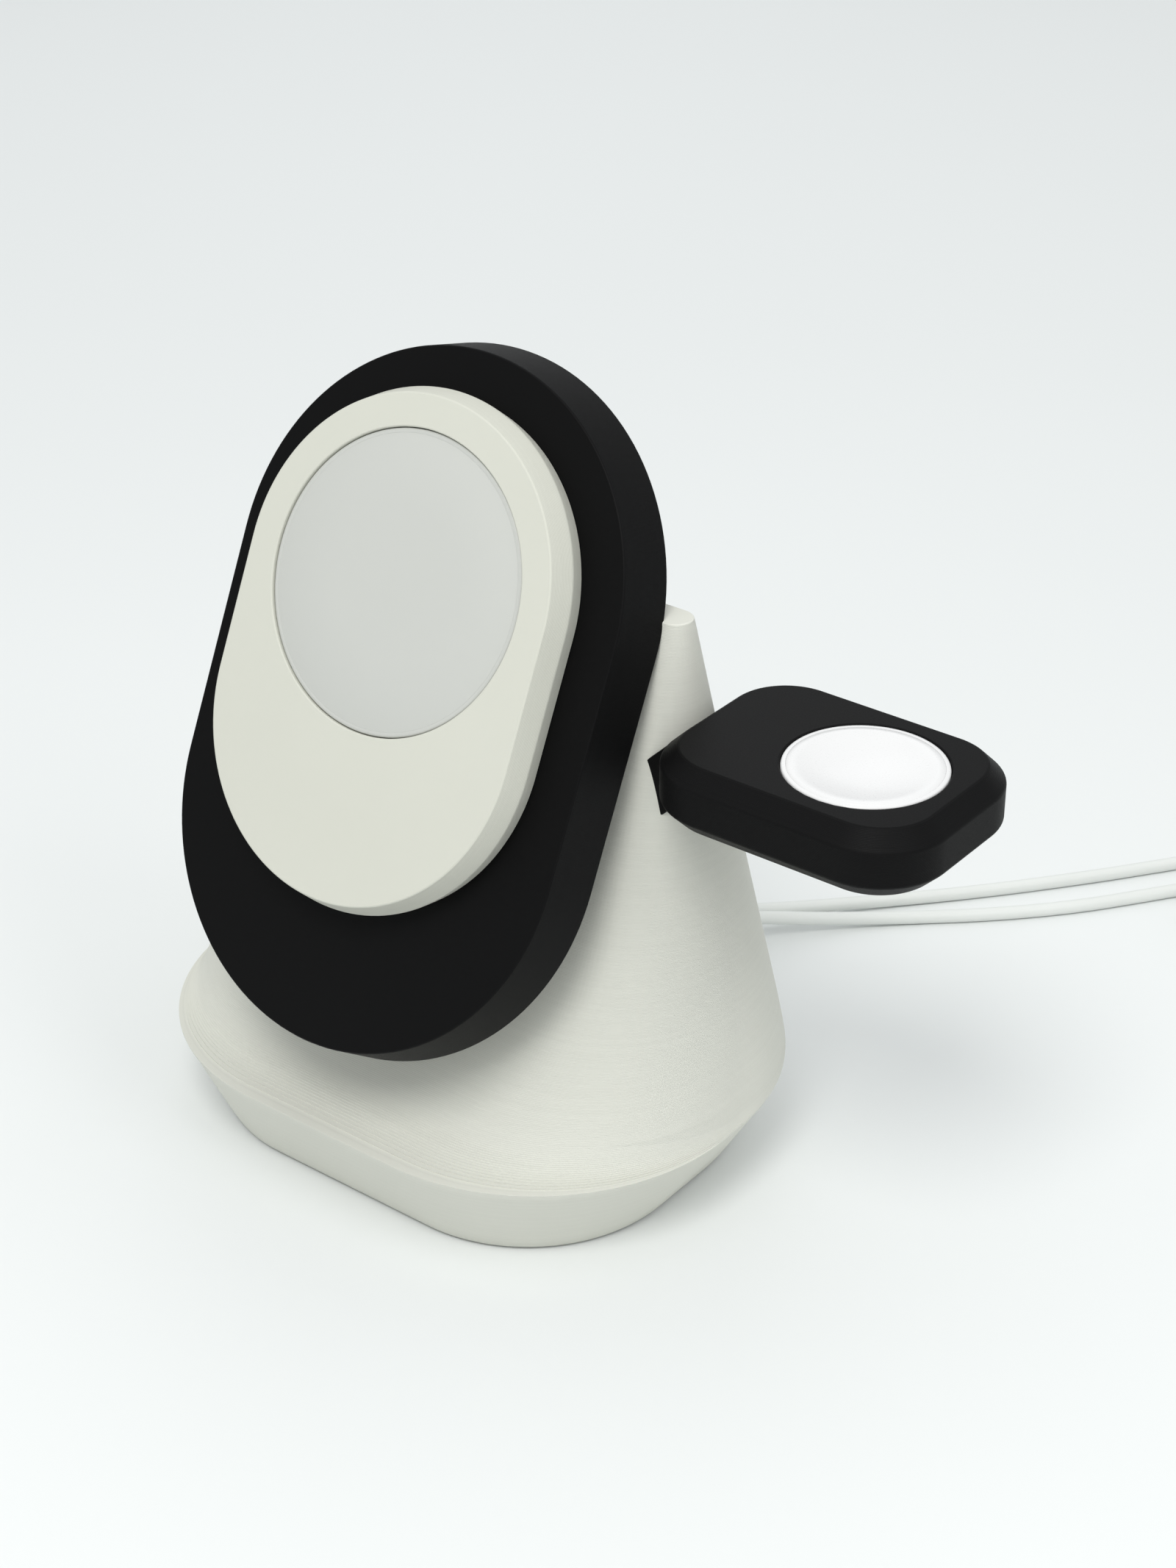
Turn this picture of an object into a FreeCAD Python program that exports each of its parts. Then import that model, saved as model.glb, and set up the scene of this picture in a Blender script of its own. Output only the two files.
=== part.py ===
import FreeCAD, Part
import math
import os
import Sketcher

# Two-device wireless charging station of printed plastic: a lofted base, a leaning
# back plate with a round phone puck, a side arm with a dished watch puck, and two leads.
# Millimetres, +Z up, the front faces -Y, the origin lies on the floor under the rim's centre.

Vector = FreeCAD.Vector
doc = FreeCAD.newDocument("charging_station")

# Driving dimensions
SIZES = {
    # base housing
    "rim_wide": 126.5,
    "rim_deep": 96.0,
    "rim_round": 45.0,
    "rim_high": 19.5,
    "flare_wide": 11.75,
    "flare_deep": 8.5,
    "foot_round": 32.0,
    "ridge_wide": 98.6,
    "ridge_deep": 6.5,
    "ridge_round": 3.2,
    "ridge_front": -0.6,
    "ridge_high": 123.2,
    "front_bend": 0.48,
    "back_bend": 0.86,
    "flank_bend": 0.89,
    "shell_wall": 3.0,
    # underside
    "stand_off": 0.6,
    "cover_thick": 3.0,
    "cover_gap": 0.2,
    "ledge_wide": 9.0,
    "ledge_thick": 6.0,
    "mat_in_wide": 17.5,
    "mat_in_deep": 16.5,
    "mat_round": 16.0,
    "mat_sunk": 1.5,
    "cover_screw_inset": 7.6,
    "ballast_gap": 4.5,
    "ballast_round": 8.0,
    "ballast_thick": 5.0,
    # leaning plate and phone puck, measured from the puck's face
    "pad_tilt": 25.4,
    "puck_y": -20.3,
    "puck_z": 125.1,
    "pad_front_wide": 88.0,
    "pad_back_wide": 92.0,
    "pad_drop": 44.0,
    "pad_thick": 11.0,
    "plate_face_wide": 68.8,
    "plate_belly_wide": 72.0,
    "plate_back_wide": 70.2,
    "plate_drop": 25.5,
    "plate_thick": 8.7,
    "plate_belly_deep": 4.7,
    "puck_sunk": 0.5,
    "puck_wide": 56.0,
    "puck_thick": 5.5,
    "puck_gap": 0.15,
    "puck_wall": 0.9,
    "puck_floor": 0.8,
    "puck_edge": 0.3,
    "face_thick": 1.0,
    "peg_wide": 3.0,
    "peg_long": 4.0,
    "peg_reach": 31.4,
    # boss behind the plate
    "boss_wide": 38.0,
    "boss_top": -8.0,
    "boss_low": -50.0,
    "boss_round": 5.0,
    "boss_long": 16.0,
    "pad_screw_x": 13.0,
    "pad_screw_high": -15.0,
    "pad_screw_low": -32.0,
    "lead_hole_y": -42.5,
    "lead_hole_wide": 5.0,
    "lead_slant": 5.0,
    "pad_screw_bite": 11.0,
    "carrier_screw_bite": 4.5,
    "carrier_screw_x": 25.0,
    "carrier_screw_y": -34.0,
    # arm and watch puck; widths are measured out from the flank, or in to the middle
    "arm_out": 27.0,
    "arm_y": 1.8,
    "arm_top": 107.5,
    "arm_long": 56.6,
    "arm_deep": 43.0,
    "arm_round": 13.7,
    "arm_bevel": 3.2,
    "arm_thick": 13.2,
    "neck_front": -5.7,
    "neck_deep": 19.0,
    "neck_low": 87.3,
    "neck_top": 98.0,
    "neck_flank_in": 7.4,
    "neck_corner_in": 4.3,
    "neck_end_in": 15.7,
    "neck_gap": 0.1,
    "shelf_thick": 3.5,
    "shelf_wide": 25.8,
    "shelf_in": 14.0,
    "shelf_y": 4.8,
    "arm_screw_in": 12.2,
    "arm_screw_y": 6.4,
    "arm_screw_bite": 5.0,
    "watch_out": 6.8,
    "watch_wide": 29.5,
    "watch_thick": 8.5,
    "watch_gap": 0.15,
    "dish_wide": 24.6,
    "dish_deep": 1.5,
    "arm_cover_in": 3.7,
    "arm_cover_long": 38.0,
    "arm_cover_deep": 16.0,
    "arm_cover_thick": 2.0,
    "arm_cover_round": 4.0,
    "arm_cover_gap": 0.15,
    "arm_slot_in": 20.7,
    "neck_channel": 4.0,
    "neck_lead_in": 5.4,
    "neck_lead_high": 92.8,
    # leads and their fittings
    "cord_wide": 3.0,
    "outlet_space": 7.0,
    "outlet_high": 13.0,
    "relief_wide": 4.2,
    "relief_tip": 3.4,
    "relief_long": 4.5,
    "phone_relief_sunk": 3.2,
    "watch_relief_sunk": 6.0,
    "grommet_wide": 6.0,
    "grommet_proud": 1.5,
    "grommet_long": 8.0,
    "clamp_wide": 26.0,
    "clamp_deep": 7.0,
    "clamp_thick": 4.0,
    "clamp_gap": 0.2,
    "clamp_space": 2.58,
    "clamp_screw_x": 9.5,
    "clamp_screw_bite": 6.0,
    "coil_radius": 16.5,
    "coil_wide": 6.0,
    "coil_high": 9.0,
    "coil_edge": 1.2,
    "plug_wide": 11.0,
    "plug_thick": 6.5,
    "plug_long": 20.0,
    "plug_round": 2.4,
    "plug_relief_long": 9.0,
    "plug_tip_wide": 8.3,
    "plug_tip_thick": 2.6,
    "plug_tip_long": 6.6,
    # fasteners
    "screw_wide": 3.0,
    "screw_head_wide": 5.6,
    "screw_head_thick": 2.0,
    "screw_key_wide": 2.0,
    "screw_play": 0.2,
    "cover_screw_bite": 4.5,
    # electronics inside the pucks
    "board_thick": 0.8,
    "phone_board_wide": 45.0,
    "phone_ferrite_wide": 43.0,
    "phone_ferrite_thick": 0.8,
    "phone_coil_wide": 42.0,
    "phone_coil_bore": 20.0,
    "phone_coil_thick": 1.2,
    "magnet_ring_in": 23.0,
    "magnet_ring_out": 26.6,
    "magnet_thick": 2.4,
    "magnet_count": 16,
    "magnet_space": 2.0,
    "watch_board_wide": 22.0,
    "watch_coil_wide": 24.0,
    "watch_coil_bore": 12.0,
    "watch_coil_thick": 1.5,
    "watch_magnet_wide": 9.0,
    "watch_magnet_thick": 2.2,
}

sheet = doc.addObject("Spreadsheet::Sheet", "sizes")
for row, (alias, number) in enumerate(SIZES.items(), start=1):
    sheet.set("A%d" % row, alias)
    sheet.set("B%d" % row, str(number))
    sheet.setAlias("B%d" % row, alias)
doc.recompute()


class Dim:
    """A size with its number and the expression that ties it to the sheet."""

    def __init__(self, number, text):
        self.number = number
        self.text = text

    def __add__(self, other):
        other = dim(other)
        return Dim(self.number + other.number, "(%s + %s)" % (self.text, other.text))

    def __sub__(self, other):
        other = dim(other)
        return Dim(self.number - other.number, "(%s - %s)" % (self.text, other.text))

    def __mul__(self, other):
        other = dim(other)
        return Dim(self.number * other.number, "(%s * %s)" % (self.text, other.text))

    def __truediv__(self, other):
        other = dim(other)
        return Dim(self.number / other.number, "(%s / %s)" % (self.text, other.text))

    def __neg__(self):
        return Dim(-self.number, "(0 - %s)" % self.text)

    def __pow__(self, other):
        other = dim(other)
        return Dim(self.number ** other.number, "(%s ^ %s)" % (self.text, other.text))


def dim(thing):
    """A number or a size's name as a Dim."""
    if isinstance(thing, Dim):
        return thing
    if isinstance(thing, str):
        return Dim(SIZES[thing], "sizes.%s" % thing)
    return Dim(float(thing), repr(float(thing)))


def cosine(angle):
    return Dim(math.cos(math.radians(angle.number)), "cos(%s * 1 deg)" % angle.text)


def least(first, second):
    """The smaller of two sizes."""
    first, second = dim(first), dim(second)
    return Dim(min(first.number, second.number), "min(%s; %s)" % (first.text, second.text))


def sine(angle):
    return Dim(math.sin(math.radians(angle.number)), "sin(%s * 1 deg)" % angle.text)


def bind(thing, prop, value):
    thing.setExpression(prop, dim(value).text)


# Document helpers

def new_body(label):
    body = doc.addObject("PartDesign::Body", label)
    body.Label = label
    return body


def new_sketch(body, role="XY_Plane", offset=None):
    """A sketch on one of the body's own origin planes, moved along its normal."""
    sketch = body.newObject("Sketcher::SketchObject", body.Name + "_sketch")
    plane = [f for f in body.Origin.OriginFeatures if f.Role == role][0]
    sketch.AttachmentSupport = [(plane, "")]
    sketch.MapMode = "FlatFace"
    if offset is not None:
        bind(sketch, "AttachmentOffset.Base.z", offset)
    return sketch


def hold(sketch, kind, *data):
    """Add one dimension to a sketch and tie it to its expression."""
    value = dim(data[-1])
    index = sketch.addConstraint(Sketcher.Constraint(kind, *data[:-1], value.number))
    sketch.setExpression("Constraints[%d]" % index, value.text)


def add_circle(sketch, x, y, wide):
    x, y, wide = dim(x), dim(y), dim(wide)
    geo = sketch.addGeometry(Part.Circle(Vector(x.number, y.number, 0), Vector(0, 0, 1), wide.number / 2))
    hold(sketch, "Radius", geo, wide / 2)
    hold(sketch, "DistanceX", -1, 1, geo, 3, x)
    hold(sketch, "DistanceY", -1, 1, geo, 3, y)


def add_rounded(sketch, wide, deep, radius, mid_x=0.0, mid_y=0.0):
    """A rounded rectangle about a middle point, fully dimensioned."""
    wide, deep, radius, mid_x, mid_y = (dim(v) for v in (wide, deep, radius, mid_x, mid_y))
    left, right = (mid_x - wide / 2), (mid_x + wide / 2)
    low, high = (mid_y - deep / 2), (mid_y + deep / 2)
    r = radius.number
    corners = (
        (left.number + r, low.number + r, 180), (right.number - r, low.number + r, 270),
        (right.number - r, high.number - r, 0), (left.number + r, high.number - r, 90))
    sides = (
        ((left.number + r, low.number), (right.number - r, low.number)),
        ((right.number, low.number + r), (right.number, high.number - r)),
        ((right.number - r, high.number), (left.number + r, high.number)),
        ((left.number, high.number - r), (left.number, low.number + r)))
    lines = [sketch.addGeometry(Part.LineSegment(Vector(*a, 0), Vector(*b, 0))) for a, b in sides]
    arcs = []
    for x, y, start in corners:
        circle = Part.Circle(Vector(x, y, 0), Vector(0, 0, 1), r)
        arc = Part.ArcOfCircle(circle, math.radians(start), math.radians(start + 90))
        arcs.append(sketch.addGeometry(arc))
    for i in range(4):
        sketch.addConstraint(Sketcher.Constraint("Tangent", arcs[i], 2, lines[i], 1))
        sketch.addConstraint(Sketcher.Constraint("Tangent", lines[i], 2, arcs[(i + 1) % 4], 1))
        sketch.addConstraint(Sketcher.Constraint(("Horizontal", "Vertical")[i % 2], lines[i]))
    for i in range(1, 4):
        sketch.addConstraint(Sketcher.Constraint("Equal", arcs[0], arcs[i]))
    hold(sketch, "Radius", arcs[0], radius)
    hold(sketch, "DistanceY", -1, 1, lines[0], 1, low)
    hold(sketch, "DistanceX", -1, 1, lines[1], 1, right)
    hold(sketch, "DistanceY", -1, 1, lines[2], 1, high)
    hold(sketch, "DistanceX", -1, 1, lines[3], 1, left)


def add_stadium(sketch, wide, drop):
    """A tall stadium: its top arc is centred on the origin, its low arc a drop below."""
    wide, drop = dim(wide), dim(drop)
    r, d = wide.number / 2, drop.number
    top = sketch.addGeometry(Part.ArcOfCircle(Part.Circle(Vector(0, 0, 0), Vector(0, 0, 1), r), 0, math.pi))
    left = sketch.addGeometry(Part.LineSegment(Vector(-r, 0, 0), Vector(-r, -d, 0)))
    low = sketch.addGeometry(
        Part.ArcOfCircle(Part.Circle(Vector(0, -d, 0), Vector(0, 0, 1), r), math.pi, 2 * math.pi))
    right = sketch.addGeometry(Part.LineSegment(Vector(r, -d, 0), Vector(r, 0, 0)))
    sketch.addConstraint(Sketcher.Constraint("Tangent", top, 2, left, 1))
    sketch.addConstraint(Sketcher.Constraint("Tangent", left, 2, low, 1))
    sketch.addConstraint(Sketcher.Constraint("Tangent", low, 2, right, 1))
    sketch.addConstraint(Sketcher.Constraint("Tangent", right, 2, top, 1))
    sketch.addConstraint(Sketcher.Constraint("Vertical", left))
    sketch.addConstraint(Sketcher.Constraint("Vertical", right))
    sketch.addConstraint(Sketcher.Constraint("Coincident", top, 3, -1, 1))
    hold(sketch, "Radius", top, wide / 2)
    hold(sketch, "DistanceY", -1, 1, low, 3, -drop)


def add_polygon(sketch, points):
    """Straight edges through points, each held at its own distances from the origin."""
    points = [(dim(x), dim(y)) for x, y in points]
    lines = []
    for (ax, ay), (bx, by) in zip(points, points[1:] + points[:1]):
        segment = Part.LineSegment(Vector(ax.number, ay.number, 0), Vector(bx.number, by.number, 0))
        lines.append(sketch.addGeometry(segment))
    for line, after in zip(lines, lines[1:] + lines[:1]):
        sketch.addConstraint(Sketcher.Constraint("Coincident", line, 2, after, 1))
    for line, (x, y) in zip(lines, points):
        hold(sketch, "DistanceX", -1, 1, line, 1, x)
        hold(sketch, "DistanceY", -1, 1, line, 1, y)


def add_feature(body, kind, sketch, length=None, back=False):
    """A Pad or Pocket of a sketch; back sends it against the sketch's normal."""
    feature = body.newObject("PartDesign::" + kind, body.Name + "_" + kind.lower())
    feature.Profile = sketch
    if length is None:
        feature.Type = "ThroughAll"
    else:
        bind(feature, "Length", length)
    feature.Reversed = back
    return feature


def add_loft(body, kind, sketches, ruled):
    loft = body.newObject("PartDesign::" + kind, body.Name + "_loft")
    loft.Profile = sketches[0]
    loft.Sections = sketches[1:]
    loft.Ruled = ruled
    return loft


def add_revolve(body, points, kind="Revolution"):
    """Turn an outline of (radius, height) points once round Z."""
    sketch = new_sketch(body, "XZ_Plane")
    add_polygon(sketch, points)
    turn = body.newObject("PartDesign::" + kind, body.Name + "_turn")
    turn.Profile = sketch
    turn.ReferenceAxis = (sketch, ["V_Axis"])
    turn.Angle = 360
    return turn


def disc(label, wide, thick, low, bore=None):
    """A flat disc or ring on Z, standing on the height low."""
    body = new_body(label)
    sketch = new_sketch(body, offset=low)
    add_circle(sketch, 0, 0, wide)
    if bore is not None:
        add_circle(sketch, 0, 0, bore)
    add_feature(body, "Pad", sketch, thick)
    return body


def put(thing, x=0.0, y=0.0, z=0.0):
    """Place an upright piece."""
    for axis, value in zip("xyz", (x, y, z)):
        bind(thing, "Placement.Base." + axis, value)


def lean(thing):
    """Place a piece of the leaning plate: its Z leaves the puck's face, its Y runs up the plate."""
    thing.Placement = FreeCAD.Placement(Vector(0, 0, 0), FreeCAD.Rotation(Vector(1, 0, 0), 1))
    bind(thing, "Placement.Base.y", "puck_y")
    bind(thing, "Placement.Base.z", "puck_z")
    thing.setExpression("Placement.Rotation.Angle", "(90 - sizes.pad_tilt) * 1 deg")


def lean_placement():
    """The same place as a fixed placement, for shapes made in code."""
    turn = FreeCAD.Rotation(Vector(1, 0, 0), 90 - SIZES["pad_tilt"])
    return FreeCAD.Placement(Vector(0, SIZES["puck_y"], SIZES["puck_z"]), turn)


def screw(name, x, y, seat, long, up=False):
    """A pan-head screw whose head lies on the height seat; its shank runs down, or up."""
    x, y, seat, long = (dim(v) for v in (x, y, seat, long))
    head = doc.addObject("Part::Cylinder", name + "_head")
    shank = doc.addObject("Part::Cylinder", name + "_shank")
    key = doc.addObject("Part::Prism", name + "_key")
    bind(head, "Radius", dim("screw_head_wide") / 2)
    bind(head, "Height", "screw_head_thick")
    bind(shank, "Radius", dim("screw_wide") / 2)
    bind(shank, "Height", long)
    key.Polygon = 6
    bind(key, "Circumradius", dim("screw_key_wide") / 2)
    bind(key, "Height", "screw_head_thick")
    put(head, x, y, seat - dim("screw_head_thick") if up else seat)
    put(shank, x, y, seat if up else seat - long)
    put(key, x, y, seat - dim("screw_head_thick") * 1.4 if up else seat + dim("screw_head_thick") * 0.4)
    whole = doc.addObject("Part::MultiFuse", name + "_whole")
    whole.Shapes = [head, shank]
    cut = doc.addObject("Part::Cut", name)
    cut.Base = whole
    cut.Tool = key
    return cut


def screw_group(label, places, seat, long, up=False):
    """Identical screws as one node of separate solids."""
    group = doc.addObject("Part::Compound", label)
    group.Label = label
    group.Links = [screw("%s_%d" % (label, i), x, y, seat, long, up) for i, (x, y) in enumerate(places)]
    return group


# Shared values of the base

def corner_radius(radius, wide, deep):
    """A corner radius that always leaves a little straight wall between two corners."""
    return least(radius, least(wide, deep) * 0.495)


FOOT_WIDE = dim("rim_wide") - dim("flare_wide") * 2
FOOT_DEEP = dim("rim_deep") - dim("flare_deep") * 2
FOOT_ROUND = corner_radius("foot_round", FOOT_WIDE, FOOT_DEEP)
MAT_WIDE = FOOT_WIDE - dim("mat_in_wide") * 2
MAT_DEEP = FOOT_DEEP - dim("mat_in_deep") * 2
MAT_ROUND = corner_radius("mat_round", MAT_WIDE, MAT_DEEP)
RIM_ROUND = corner_radius("rim_round", "rim_wide", "rim_deep")
RIM_SHARE = RIM_ROUND / (dim("rim_deep") / 2)
RIDGE_SHARE = corner_radius("ridge_round", "ridge_wide", "ridge_deep") / (dim("ridge_deep") / 2)
UPPER_SHARES = (0.004, 0.015, 0.04, 0.08, 0.14, 0.23, 0.35, 0.5, 0.7, 0.86)
CAVITY_SHARES = (0.02, 0.05, 0.1, 0.18, 0.3, 0.45, 0.62, 0.8)


def blend(start, end, share, bend):
    """A size on its way from start to end, at a share of the height, with its bend."""
    start, end = dim(start), dim(end)
    return start + (end - start) * (dim(share) ** dim(bend))


def section(share):
    """Width, front, back and corner radius of the upper body at a share of its height."""
    wide = blend("rim_wide", "ridge_wide", share, "flank_bend")
    front = blend(-dim("rim_deep") / 2, "ridge_front", share, "front_bend")
    back = blend(dim("rim_deep") / 2, dim("ridge_front") + dim("ridge_deep"), share, "back_bend")
    roundness = RIM_SHARE + (RIDGE_SHARE - RIM_SHARE) * share
    return wide, front, back, roundness


def section_height(share):
    return dim("rim_high") + (dim("ridge_high") - dim("rim_high")) * share


def section_sketch(body, share, inset=0.0, sunk=0.0):
    """One outline of the upper body, or of the cavity inside it."""
    wide, front, back, roundness = section(share)
    front, back = front + inset, back - inset
    deep = back - front
    sketch = new_sketch(body, offset=section_height(share) - sunk)
    add_rounded(sketch, wide - dim(inset) * 2, deep, deep / 2 * roundness, 0, (front + back) / 2)
    return sketch


def lower_size(kind, height):
    """Width, depth or corner radius of the flared foot at a height above its underside."""
    share = dim(height) / (dim("rim_high") - dim("stand_off"))
    start, end = {
        "wide": (FOOT_WIDE, dim("rim_wide")), "deep": (FOOT_DEEP, dim("rim_deep")),
        "round": (FOOT_ROUND, RIM_ROUND)}[kind]
    return start + (end - start) * share


def lower_sketch(body, height, inset=0.0):
    """One outline of the flared foot at a height above its underside, or inside it."""
    sketch = new_sketch(body, offset=dim("stand_off") + height)
    wide = lower_size("wide", height) - dim(inset) * 2
    deep = lower_size("deep", height) - dim(inset) * 2
    add_rounded(sketch, wide, deep, lower_size("round", height) - inset)
    return sketch


# Places worked out from the sizes

FLOOR = dim("stand_off")
RIM_STEP = dim("rim_high") - dim("stand_off")
LEDGE_TOP = dim("cover_thick") + dim("ledge_thick")
TILT = dim("pad_tilt")
PLATE_BACK = dim("puck_sunk") - dim("plate_thick")
PAD_BACK = PLATE_BACK - dim("pad_thick")
THREAD_HOLE = dim("screw_wide")
SCREW_HOLE = dim("screw_wide") + dim("screw_play")
HEAD_HOLE = dim("screw_head_wide") + dim("screw_play") * 2
HEAD_SEAT = dim("screw_head_thick") + dim("screw_play")
FLANK_X = section((dim("neck_low") - dim("rim_high")) / (dim("ridge_high") - dim("rim_high")))[0] / 2
ARM_X = FLANK_X + dim("arm_out")
WATCH_X = ARM_X + dim("watch_out")
ARM_LOW = dim("arm_top") - dim("arm_thick")
ARM_COVER_X = ARM_X - dim("arm_cover_in")
ARM_SLOT_START = ARM_X - dim("arm_slot_in")
NECK_END = FLANK_X - dim("neck_end_in")
NECK_LEAD_X = FLANK_X - dim("neck_lead_in")
NECK_MID = dim("neck_front") + dim("neck_deep") / 2
OUTLET_X = dim("outlet_space") / 2
OUTLET_BACK = lower_size("deep", dim("outlet_high") - dim("stand_off")) / 2
GROMMET_END = OUTLET_BACK + dim("grommet_proud")
CLAMP_Y = GROMMET_END - dim("grommet_long") - dim("clamp_space") - dim("clamp_deep") / 2
CLAMP_LOW = dim("outlet_high") + dim("clamp_gap") / 2
SADDLE_TOP = dim("outlet_high") - dim("clamp_gap") / 2
COVER_SCREW_X = FOOT_WIDE / 2 - dim("cover_screw_inset")
COVER_SCREW_Y = FOOT_DEEP / 2 - dim("cover_screw_inset")
COVER_SCREWS = ((COVER_SCREW_X, 0), (-COVER_SCREW_X, 0), (0, COVER_SCREW_Y), (0, -COVER_SCREW_Y))
PAD_SCREWS = [(dim("pad_screw_x") * side, dim(high)) for side in (1, -1)
              for high in ("pad_screw_high", "pad_screw_low")]
CARRIER_SCREWS = [(dim("carrier_screw_x") * side, dim("carrier_screw_y")) for side in (1, -1)]
ARM_SCREWS = [(FLANK_X - dim("arm_screw_in"), NECK_MID + dim("arm_screw_y") * side) for side in (1, -1)]
CLAMP_SCREWS = [(dim("clamp_screw_x") * side, CLAMP_Y) for side in (1, -1)]
PEGS = [(dim("peg_reach") * math.sqrt(0.5) * side, dim("peg_reach") * math.sqrt(0.5)) for side in (1, -1)]
LEAD_DROP = dim("arm_top") - dim("watch_relief_sunk") - dim("neck_lead_high")
LEAD_CORNER = NECK_LEAD_X + LEAD_DROP


def leaning_sketch(body, depth):
    """A sketch in the base that lies parallel to the leaning plate, at a local height depth."""
    sketch = new_sketch(body)
    sketch.AttachmentOffset = FreeCAD.Placement(Vector(0, 0, 0), FreeCAD.Rotation(Vector(1, 0, 0), 1))
    sketch.setExpression("AttachmentOffset.Rotation.Angle", "(90 - sizes.pad_tilt) * 1 deg")
    bind(sketch, "AttachmentOffset.Base.y", dim("puck_y") - depth * cosine(TILT))
    bind(sketch, "AttachmentOffset.Base.z", dim("puck_z") + depth * sine(TILT))
    return sketch


def upright_sketch(body, y):
    """A sketch in the plane of X and Z at the depth y; its normal points to the front."""
    return new_sketch(body, "XZ_Plane", -dim(y))


def neck_outline(gap):
    """The arm's neck seen from the front, grown by a gap: level in the base, then rising to the slab."""
    gap = dim(gap)
    bevel_gap = gap * math.tan(math.pi / 8)
    rise_low = ARM_LOW - dim("neck_low")
    slab_step = ARM_LOW + dim("arm_thick") - dim("arm_bevel")
    rise_top = slab_step - dim("neck_top")
    end = ARM_X - dim("arm_long") / 2 + dim("arm_round") / 2
    start = NECK_END - gap
    low_corner = FLANK_X - dim("neck_corner_in") + bevel_gap
    top_corner = FLANK_X - dim("neck_flank_in") - bevel_gap
    return [
        (start, dim("neck_low") - gap), (low_corner, dim("neck_low") - gap),
        (low_corner + rise_low, ARM_LOW - gap), (end, ARM_LOW - gap),
        (end, slab_step + gap), (top_corner + rise_top, slab_step + gap),
        (top_corner, dim("neck_top") + gap), (start, dim("neck_top") + gap)]


# The base housing and what closes it

def make_base_shell():
    body = new_body("base_shell")
    wall = dim("shell_wall")
    # flared foot below the rim, then the smooth body up to the ridge
    add_loft(body, "AdditiveLoft", [lower_sketch(body, 0.0), lower_sketch(body, RIM_STEP)], True)
    upper = [lower_sketch(body, RIM_STEP)]
    upper += [section_sketch(body, share) for share in UPPER_SHARES + (1.0,)]
    add_loft(body, "AdditiveLoft", upper, False)
    # cavity of the flared foot and of the upper body, a wall inside
    cavity_rim = RIM_STEP - wall
    lower = [lower_sketch(body, LEDGE_TOP, wall), lower_sketch(body, cavity_rim, wall)]
    add_loft(body, "SubtractiveLoft", lower, True)
    inner = [lower_sketch(body, cavity_rim, wall)]
    inner += [section_sketch(body, share, wall, wall) for share in CAVITY_SHARES]
    add_loft(body, "SubtractiveLoft", inner, False)
    # seat of the cover, and the opening through the ledge
    add_feature(body, "Pocket", lower_sketch(body, 0.0, wall), "cover_thick", back=True)
    opening = lower_sketch(body, 0.0, wall + dim("ledge_wide"))
    add_feature(body, "Pocket", opening, LEDGE_TOP + wall, back=True)
    # boss that the leaning plate is screwed to, with its screw holes and the lead's hole
    boss = leaning_sketch(body, PAD_BACK)
    boss_mid = (dim("boss_top") + dim("boss_low")) / 2
    add_rounded(boss, "boss_wide", dim("boss_top") - dim("boss_low"), "boss_round", 0, boss_mid)
    add_feature(body, "Pad", boss, "boss_long", back=True)
    holes = leaning_sketch(body, PAD_BACK)
    for x, y in PAD_SCREWS:
        add_circle(holes, x, y, THREAD_HOLE)
    add_feature(body, "Pocket", holes, dim("pad_screw_bite") + dim("screw_play"))
    lead_hole = leaning_sketch(body, PAD_BACK)
    add_circle(lead_hole, 0, "lead_hole_y", "lead_hole_wide")
    add_feature(body, "Pocket", lead_hole, dim("boss_long") + wall)
    # the ridge makes room for the housing that leans on it
    seat = leaning_sketch(body, PAD_BACK)
    add_stadium(seat, "pad_back_wide", "pad_drop")
    add_feature(body, "Pocket", seat, "pad_thick", back=True)
    # the socket of the arm's neck through the flank, and the round shelf that the neck stands on
    socket = upright_sketch(body, dim("neck_front") - dim("neck_gap"))
    add_polygon(socket, neck_outline("neck_gap"))
    add_feature(body, "Pocket", socket, dim("neck_deep") + dim("neck_gap") * 2)
    shelf = new_sketch(body, offset=dim("neck_low") - dim("shelf_thick"))
    add_circle(shelf, FLANK_X - dim("shelf_in"), "shelf_y", "shelf_wide")
    add_feature(body, "Pad", shelf, "shelf_thick")
    shelf_holes = new_sketch(body, offset="neck_low")
    for x, y in ARM_SCREWS:
        add_circle(shelf_holes, x, y, SCREW_HOLE)
    add_feature(body, "Pocket", shelf_holes, "shelf_thick")
    # saddle for the leads on the ledge, and their outlets in the rear wall
    saddle = new_sketch(body, offset=FLOOR + LEDGE_TOP - dim("screw_play"))
    add_rounded(saddle, "clamp_wide", "clamp_deep", 1.0, 0, CLAMP_Y)
    add_feature(body, "Pad", saddle, SADDLE_TOP - FLOOR - LEDGE_TOP + dim("screw_play"))
    grooves = upright_sketch(body, CLAMP_Y - dim("clamp_deep"))
    for side in (1, -1):
        add_circle(grooves, OUTLET_X * side, "outlet_high", "cord_wide")
    add_feature(body, "Pocket", grooves, dim("clamp_deep") * 2)
    outlets = upright_sketch(body, GROMMET_END - dim("grommet_long"))
    for side in (1, -1):
        add_circle(outlets, OUTLET_X * side, "outlet_high", "grommet_wide")
    add_feature(body, "Pocket", outlets, "grommet_long")
    # blind holes for the cover's screws and the clamp's screws
    cover_holes = new_sketch(body, offset=FLOOR + dim("cover_thick"))
    for x, y in COVER_SCREWS:
        add_circle(cover_holes, x, y, THREAD_HOLE)
    add_feature(body, "Pocket", cover_holes, dim("cover_screw_bite") + dim("screw_play"), back=True)
    clamp_holes = new_sketch(body, offset=SADDLE_TOP)
    for x, y in CLAMP_SCREWS:
        add_circle(clamp_holes, x, y, THREAD_HOLE)
    add_feature(body, "Pocket", clamp_holes, dim("clamp_screw_bite") + dim("screw_play"))
    return body


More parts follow.
